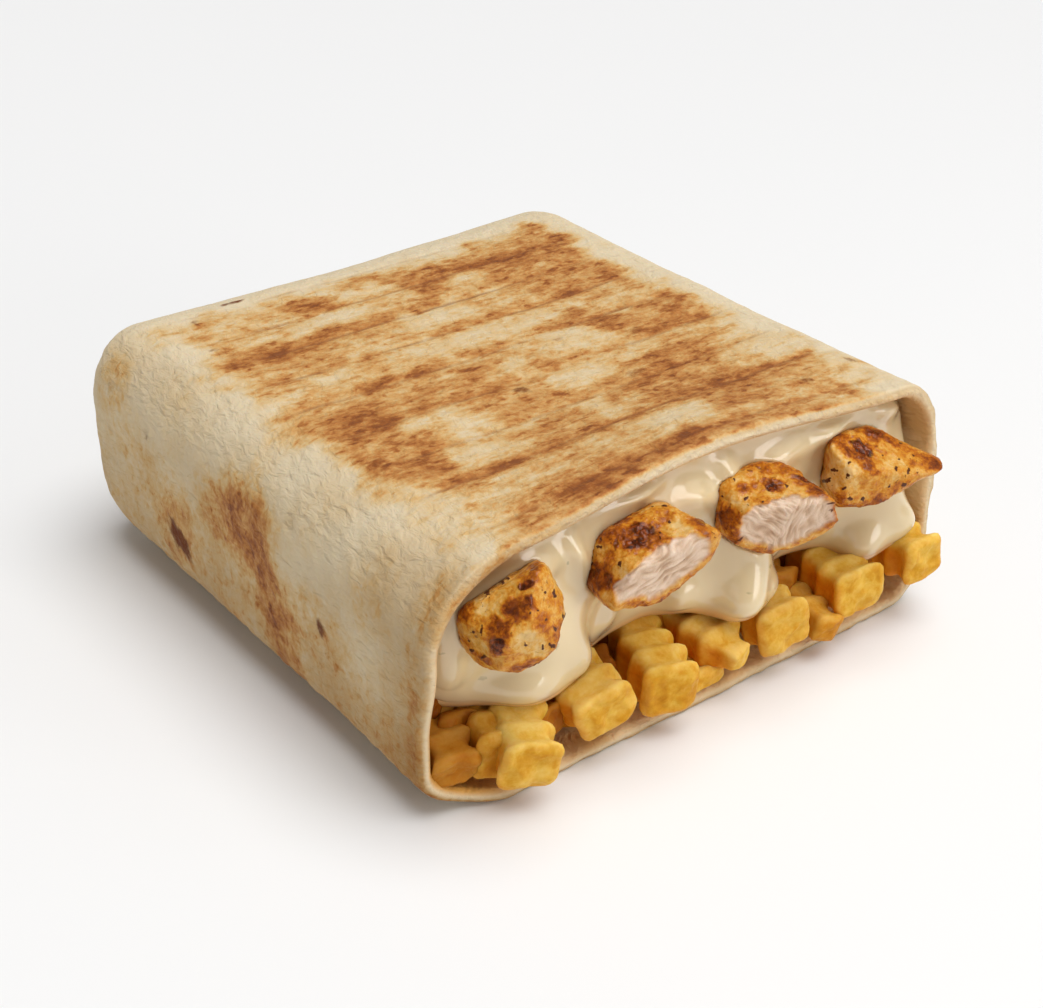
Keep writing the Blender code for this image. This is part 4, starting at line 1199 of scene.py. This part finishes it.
def build_chicken(index, centre, facets, directions, faces, paint):
    """One grilled lump, its crust, marks, cut face and thin point."""
    reach = lump_reach(directions, facets)
    local = directions * reach[:, None]
    lump = SimpleNamespace(index=index, directions=directions, seedling=local + 40.0 * index)
    lump.across, lump.up = local[:, 0], local[:, 2]
    lump.seen = fall(directions[:, 1], *SEEN_SIDE)
    char = lump_marks(lump, listed_marks(lump, CHAR, 1.0), HIDDEN_CHAR)
    brown = lump_marks(lump, listed_marks(lump, BROWN, 1.2), HIDDEN_BROWN)
    pale = lump_marks(lump, listed_marks(lump, PALE_MEAT, 1.0), HIDDEN_PALE)
    speck = lump_marks(lump, lump_specks(lump), HIDDEN_SPECKS)
    cut, rim, fibre = lump_cut(lump)

    crust = layered(lump.seedling, CRUST_RELIEF)
    crust += BROWN_HEIGHT * (1 - np.abs(noise(lump.seedling, *BROWN_GRAIN)) * 2) * brown
    crust += layered(lump.seedling, CHAR_RELIEF) * char
    relief = crust * (1 - cut) + SPECK_HEIGHT * speck
    relief += cut * (FIBRE_HEIGHT * fibre - CUT_DEPTH) + CUT_RIM_HEIGHT * rim
    shaped = directions * (reach + relief)[:, None]
    start, end, width = TIPS[index]
    near = bell(np.hypot(lump.across - start[0], lump.up - start[1]), width)
    near = near * smooth(0.8 - np.abs(directions[:, 1]))
    for axis, first, last in zip((0, 2), start, end):
        shaped[:, axis] += (last - first) * near
    attributes = {"cut": cut, "char": char, "brown": brown, "pale": pale, "speck": speck,
                  "fibre": np.clip(0.5 + 0.45 * fibre, 0, 1)}
    add_piece(f"grilled_{index + 1}", shaped @ lump_turn().T + np.array(centre), faces, attributes,
              paint, f"chicken_{index + 1}")


# The sauce


def filling_runs(x):
    """Places along the parcel, from the filling's back end to near the mouth, at x."""
    past = (abs(x) - FILLING_HALF_WIDTH) / FILLING_BACK_CORNER + 1
    back = FILLING_BACK_Y - FILLING_BACK_CORNER * quarter_turn(past)
    span = min(back - FILLING_RUN_Y[0], 0.0)
    return [back] + [y + span * (y > 0) for y in FILLING_RUN_Y]


def sauce_slice(x):
    """One closed section of the sauce across the parcel at x, as points (y, z)."""
    skin = WALL + FILLING_GAP
    runs = filling_runs(x)
    top = [(y, height_span(x, y, skin)[1]) for y in runs]
    face_y = MOUTH_Y + SAUCE_TOP_RECESS + SAUCE_SIDE_RECESS * rise(x, *SAUCE_SIDE)
    face_z = height_span(x, face_y, skin)[1]
    reach = max(out * bell(x - middle, wide) for middle, wide, out, _ in SAUCE_LOBES)
    droop = max(down * bell(x - middle, wide) for middle, wide, _, down in SAUCE_LOBES)
    rounding = SAUCE_END_DEPTH * quarter_turn((abs(x) - SAUCE_END_START) / SAUCE_END_SPAN)
    edge_y = SAUCE_EDGE_Y - reach
    hanging = fall(edge_y, CORE_FRONT_Y - SAUCE_LIP - CORE_WAVE, SAUCE_HANG_REACH)
    turned_up = (abs(x) - FILLING_HALF_WIDTH + SAUCE_CORNER_START) / SAUCE_CORNER
    corner = SAUCE_CORNER_LIFT[int(x > 0)] * quarter_turn(turned_up)
    turn_z = SAUCE_FLOOR - droop * hanging + corner + SAUCE_LIP
    face = []
    for part in np.linspace(0, 1, SAUCE_FACE_STEPS + 1):
        bulge = SAUCE_BULGE * math.sin(math.pi * part ** SAUCE_SAG)
        out = SAUCE_ROLL * bell(1 - part, SAUCE_ROLL_REACH) + bulge
        out -= rounding * math.sin(math.pi * min(part + 0.25, 0.75))
        y = face_y + (edge_y - face_y) * rise(part, *SAUCE_FLOW) - out
        face.append((y, face_z + (turn_z - face_z) * part))
    for angle in np.linspace(0, math.pi / 2, SAUCE_LIP_STEPS + 1)[1:]:
        back = (SAUCE_LIP + SAUCE_ROLL) * (1 - math.cos(angle))
        face.append((edge_y - SAUCE_ROLL + back, turn_z - SAUCE_LIP * math.sin(angle)))
    face.append((max(edge_y + SAUCE_LIP + SAUCE_HEEL, SAUCE_HEEL_Y), SAUCE_FLOOR + corner))
    return top + face + [(y, max(SAUCE_FLOOR, height_span(x, y, skin)[0])) for y in reversed(runs)]


def slices_grid(slicer, count, half):
    """Sections across the parcel from the left to the right, as rings."""
    rings = []
    for t in np.linspace(-1, 1, count):
        x = half * (SLICE_EVENNESS * t + (1 - SLICE_EVENNESS) * math.sin(t * math.pi / 2))
        rings.append([(x, y, z) for y, z in slicer(x)])
    return settle(rings)


def moulded(points, face):
    """The sauce's points pushed back from the chicken, with a low collar round each lump."""
    turn = lump_turn()
    for centre, facets in CHICKEN:
        for _ in range(MOULD_ROUNDS):
            local = (points - np.array(centre)) @ turn
            length = np.maximum(np.linalg.norm(local, axis=1), 1e-6)
            gap = length - lump_reach(local / length[:, None], facets)
            deep = gap < MOULD_GAP
            points[deep, 1] += np.maximum(MOULD_GAP - gap[deep], MOULD_STEP)
        collar = bell(np.maximum(gap, 0), COLLAR_WIDTH) * face * (gap > -MOULD_DEPTH)
        points[:, 1] -= COLLAR_HEIGHT * collar
    return points


def build_sauce():
    """The sauce, with its swells and lobes, moulded round the chicken."""
    grid = slices_grid(sauce_slice, SAUCE_STATIONS, FILLING_HALF_WIDTH)
    normal = outward_normals(grid, SAUCE_STATIONS // 2).reshape(-1, 3)
    points = grid.reshape(-1, 3)
    x, _, z = points.T
    first = len(FILLING_RUN_Y) + 1
    order = np.tile(np.arange(grid.shape[1]), len(grid)) - first
    face = ((order >= 0) & (order <= SAUCE_FACE_STEPS + SAUCE_LIP_STEPS)).astype(float)
    relief = layered(points, SAUCE_WAVES)
    relief += SWELL_SCALE * sum(mark[5] * bell(ellipse(x, z, mark), 1) for mark in SWELLS)
    relief *= face * smooth(order / RELIEF_TOP_STEPS) * fall(np.abs(x), *RELIEF_HALF)
    points = moulded(points + normal * relief[:, None], face)
    x, _, z = grid.reshape(-1, 3).T
    herbs = [(place[0], place[1], place[2], 0.6 * place[2], HERB_TURN * k) for k, place in enumerate(HERBS)]
    attributes = {"herb": union(blot(x, z, mark) for mark in herbs),
                  # rim: where the lower edge takes the painted glow
                  "rim": rise(order, *SAUCE_GLOW_STEPS) * face}
    add_piece("sauce_flow", points, tube_faces(*grid.shape[:2]), attributes, sauce_paint(), "sauce")


# The fries


def core_slice(x):
    """One closed section of the heap behind the fries that show, as points (y, z)."""
    skin = WALL + FILLING_GAP
    runs = filling_runs(x)
    front = CORE_FRONT_Y + CORE_SET_BACK + CORE_WAVE * math.sin(x / CORE_WAVE_LENGTH)
    top = SAUCE_FLOOR - CORE_TOP_GAP
    low = [(y, height_span(x, y, skin)[0]) for y in runs + [front]]
    heights = np.linspace(low[-1][1], top, CORE_FRONT_STEPS + 1)[1:]
    return low + [(front, z) for z in heights] + [(y, top) for y in runs[::-1]]


def box_edge(u, v, w):
    """1 where two of three places on a box are at its outside, as along its edges."""
    return rise(np.sort(np.stack([u, v, w]), axis=0)[1], 0.80, 0.2)


def fry_rings(length, width):
    """Places along a fry, from the middle of its flat end round its edge to its root, and scales."""
    flat_part = FRY_FLAT_SHARE * (1 - FRY_TIP_RADIUS / (width / 2))
    rings = [(0.0, flat_part * scale) for scale in FRY_TIP_RINGS]
    for angle in np.linspace(0, math.pi / 2, FRY_TIP_STEPS + 1):
        inset = FRY_TIP_RADIUS * (1 - math.sin(angle)) / (width / 2)
        rings.append((FRY_TIP_RADIUS * (1 - math.cos(angle)), 1 - inset))
    return rings + [(y, 1.0) for y in np.arange(FRY_TIP_RADIUS + FRY_RING_PITCH, length, FRY_RING_PITCH)]


def fry_shape(spec, length, phase, bend, twist):
    """The rings of one straight fry, and its ridge, edge and nearness to its end at each point."""
    _, _, width, height, point, _ = spec
    angles = (np.arange(FRY_ROUND_POINTS) + 0.5) * 2 * math.pi / FRY_ROUND_POINTS
    cos, sin = np.cos(angles), np.sin(angles)
    square = (np.abs(cos) ** FRY_SQUARENESS + np.abs(sin) ** FRY_SQUARENESS) ** (-1 / FRY_SQUARENESS)
    points, ridge, edge, endness = [], [], [], []
    for along, scale in fry_rings(length, width):
        wave = abs(math.sin(math.pi * (along - RIDGE_START + phase) / RIDGE_PITCH))
        crest = 1 - wave ** RIDGE_SHARPNESS
        swell = RIDGE_DEPTH * (2 * crest - 1)
        ending = scale * (1 - point * fall(along, FRY_POINT_LENGTH, FRY_POINT_LENGTH))
        half_w = width / 2 + swell
        half_h = height / 2 + RIDGE_DEPTH * (1 - RIDGE_FLATNESS) + swell * RIDGE_FLATNESS
        across = square * cos * half_w * ending
        up = square * sin * half_h * ending
        roll = twist * along / FRY_TWIST_LENGTH
        lean = bend * (along / FRY_BEND_LENGTH) ** 2 + RIDGE_SWAY * swell
        points.append(np.stack([
            across * math.cos(roll) - up * math.sin(roll) + lean, np.full(len(cos), along),
            across * math.sin(roll) + up * math.cos(roll),
        ], 1))
        ridge.append(np.full(len(cos), crest))
        edge.append(box_edge(np.abs(square * cos) * scale, np.abs(square * sin) * scale,
                             np.full(len(cos), 1 - min(along / FRY_EDGE_REACH, 1.0))))
        endness.append(np.full(len(cos), math.exp(-along / FRY_END_REACH)))
    return np.array(points), np.concatenate(ridge), np.concatenate(edge), np.concatenate(endness)


def fry_points(spec, index, chance):
    """Points and attributes of one crinkle-cut fry, and its number of rings."""
    tip, turn, _, _, _, shade = spec
    length = (FRY_ROOT_Y - tip[1]) / math.cos(math.radians(turn[0]))
    shifts = (-FRY_SHIFT, FRY_SHIFT) if index < len(FRIES) else (0, RIDGE_PITCH)
    phase = chance.uniform(*shifts)
    bend = chance.uniform(-FRY_BEND, FRY_BEND)
    twist = math.radians(chance.uniform(-FRY_TWIST, FRY_TWIST))
    rings, ridge, edge, endness = fry_shape(spec, length, phase, bend, twist)
    normal = outward_normals(rings, FRY_PROBE_RING).reshape(-1, 3)
    points = rings.reshape(-1, 3)
    seedling = points + 60.0 * index
    points = points + normal * (layered(seedling, FRY_RELIEF) * (1 - endness))[:, None]
    points[:, 1] += layered(seedling, FRY_END_RELIEF) * endness
    yaw, pitch, roll = (math.radians(angle) for angle in turn)
    turning = np.array(Euler([pitch, roll, yaw], "XYZ").to_matrix()).T
    points = points @ turning + np.array(tip)
    facing = normal @ turning
    # Painted shade: sides that face left and down, shaded fries and those deeper in take the shaded colours
    fry_painted_shade = smooth(0.30 * noise(seedling, 3.0, 66) - facing[:, 0] - 0.75 * facing[:, 2] - 0.10)
    fry_painted_shade = np.maximum(fry_painted_shade * (1 - 0.7 * endness), shade)
    fry_painted_shade = np.maximum(fry_painted_shade, rise(points[:, 1], *FRY_SHADE_Y))
    # dark: painted deep shade on shaded fries and those deeper in
    dark = np.maximum(0.85 * shade ** 1.5, 0.8 * rise(points[:, 1], *FRY_PAINTED_DEEP_SHADE_Y))
    # Random tone, with painted light and shade: lighter on top, darker on the ends
    tone_and_light = chance.uniform(*FRY_TONES) + 0.08 * smooth(-facing[:, 1]) - 0.22 * smooth(facing[:, 2])
    return points, len(rings), {"ridge": ridge, "edge": edge, "tone_and_light": tone_and_light, "fry_painted_shade": fry_painted_shade, "dark": dark}


def build_fries():
    """The heap: its core, the fries that show and those further in."""
    chance = np.random.default_rng(SEED)
    core = slices_grid(core_slice, CORE_STATIONS, CORE_HALF_WIDTH)
    inside = core.reshape(-1, 3)
    faces = tube_faces(*core.shape[:2])
    points = [inside + layered(inside, CORE_RELIEF)[:, None] * (0, 1, 0)]
    # The core is painted dark as deep shade
    marks = {key: [np.full(len(inside), value)] for key, value in FRY_MARKS_INSIDE.items()}
    start = len(inside)
    for index, spec in enumerate(FRIES + DEEP_FRIES):
        own_points, rings, own_marks = fry_points(spec, index, chance)
        faces += tube_faces(rings, FRY_ROUND_POINTS, start)
        points.append(own_points)
        start += len(own_points)
        for key, values in own_marks.items():
            marks[key].append(values)
    attributes = {key: np.concatenate(values) for key, values in marks.items()}
    add_piece("fry_heap", np.concatenate(points), faces, attributes, fries_paint(), "fries")


# Floor, light and camera


def add_camera():
    """The photo's camera, on its orbit round the parcel."""
    azimuth, height = math.radians(CAMERA_AZIMUTH), math.radians(CAMERA_HEIGHT)
    back = Vector((
        math.sin(azimuth) * math.cos(height), -math.cos(azimuth) * math.cos(height), math.sin(height),
    ))
    right = (-back).cross(Vector((0, 0, 1))).normalized()
    up = right.cross(-back)
    camera = bpy.data.cameras.new("camera")
    camera.lens = CAMERA_FOCUS
    camera.sensor_width = SENSOR
    camera.clip_start = 0.01
    place = Matrix((right, up, back)).transposed().to_4x4()
    place.translation = (CAMERA_TARGET + back * CAMERA_DISTANCE
                         + right * CAMERA_SHIFT[0] + up * CAMERA_SHIFT[1])
    bpy.context.scene.camera = add_object("camera", camera)
    bpy.context.scene.camera.matrix_world = place


def add_lights():
    """Rectangular soft lights that look at the mouth, and broad even light from above."""
    for name, place, size, power, colour in LIGHTS:
        light = bpy.data.lights.new(name, "AREA")
        light.shape = "RECTANGLE"
        light.size, light.size_y = size
        light.energy = power
        light.color = colour
        holder = add_object(name, light)
        holder.location = place
        holder.rotation_euler = (LIGHTS_AIM - Vector(place)).to_track_quat("-Z", "Y").to_euler()
    light = bpy.data.lights.new("sun", "SUN")
    light.energy = SUN_STRENGTH
    light.angle = math.radians(SUN_SOFTNESS)
    add_object("sun", light).rotation_euler = SUN_TOWARDS.to_track_quat("Z", "Y").to_euler()


def add_stage():
    """The plain pale floor and the even light of the surroundings."""
    floor = bpy.data.meshes.new("floor")
    corners = [(FLOOR_REACH * x, FLOOR_REACH * y, 0) for x, y in ((-1, -1), (1, -1), (1, 1), (-1, 1))]
    floor.from_pydata(corners, [], [(0, 1, 2, 3)])
    paint = Paint("floor")
    paint.set(Base_Color=FLOOR, Roughness=0.9, Specular_IOR_Level=0.1)
    floor.materials.append(paint.material)
    add_object("floor", floor)
    world = bpy.data.worlds.new("world")
    world.use_nodes = True
    sky = world.node_tree.nodes["Background"]
    sky.inputs["Color"].default_value = SKY
    sky.inputs["Strength"].default_value = SKY_STRENGTH
    bpy.context.scene.world = world
    bpy.context.scene.view_settings.view_transform = "Standard"


def main():
    """Builds the pieces, the stage, the light and the camera."""
    build_wrap()
    build_sauce()
    build_fries()
    paint = chicken_paint()
    directions, faces = sphere_points(CHICKEN_FINENESS)
    for index, (centre, facets) in enumerate(CHICKEN):
        build_chicken(index, centre, facets, directions, faces, paint)
    add_stage()
    add_lights()
    add_camera()


main()
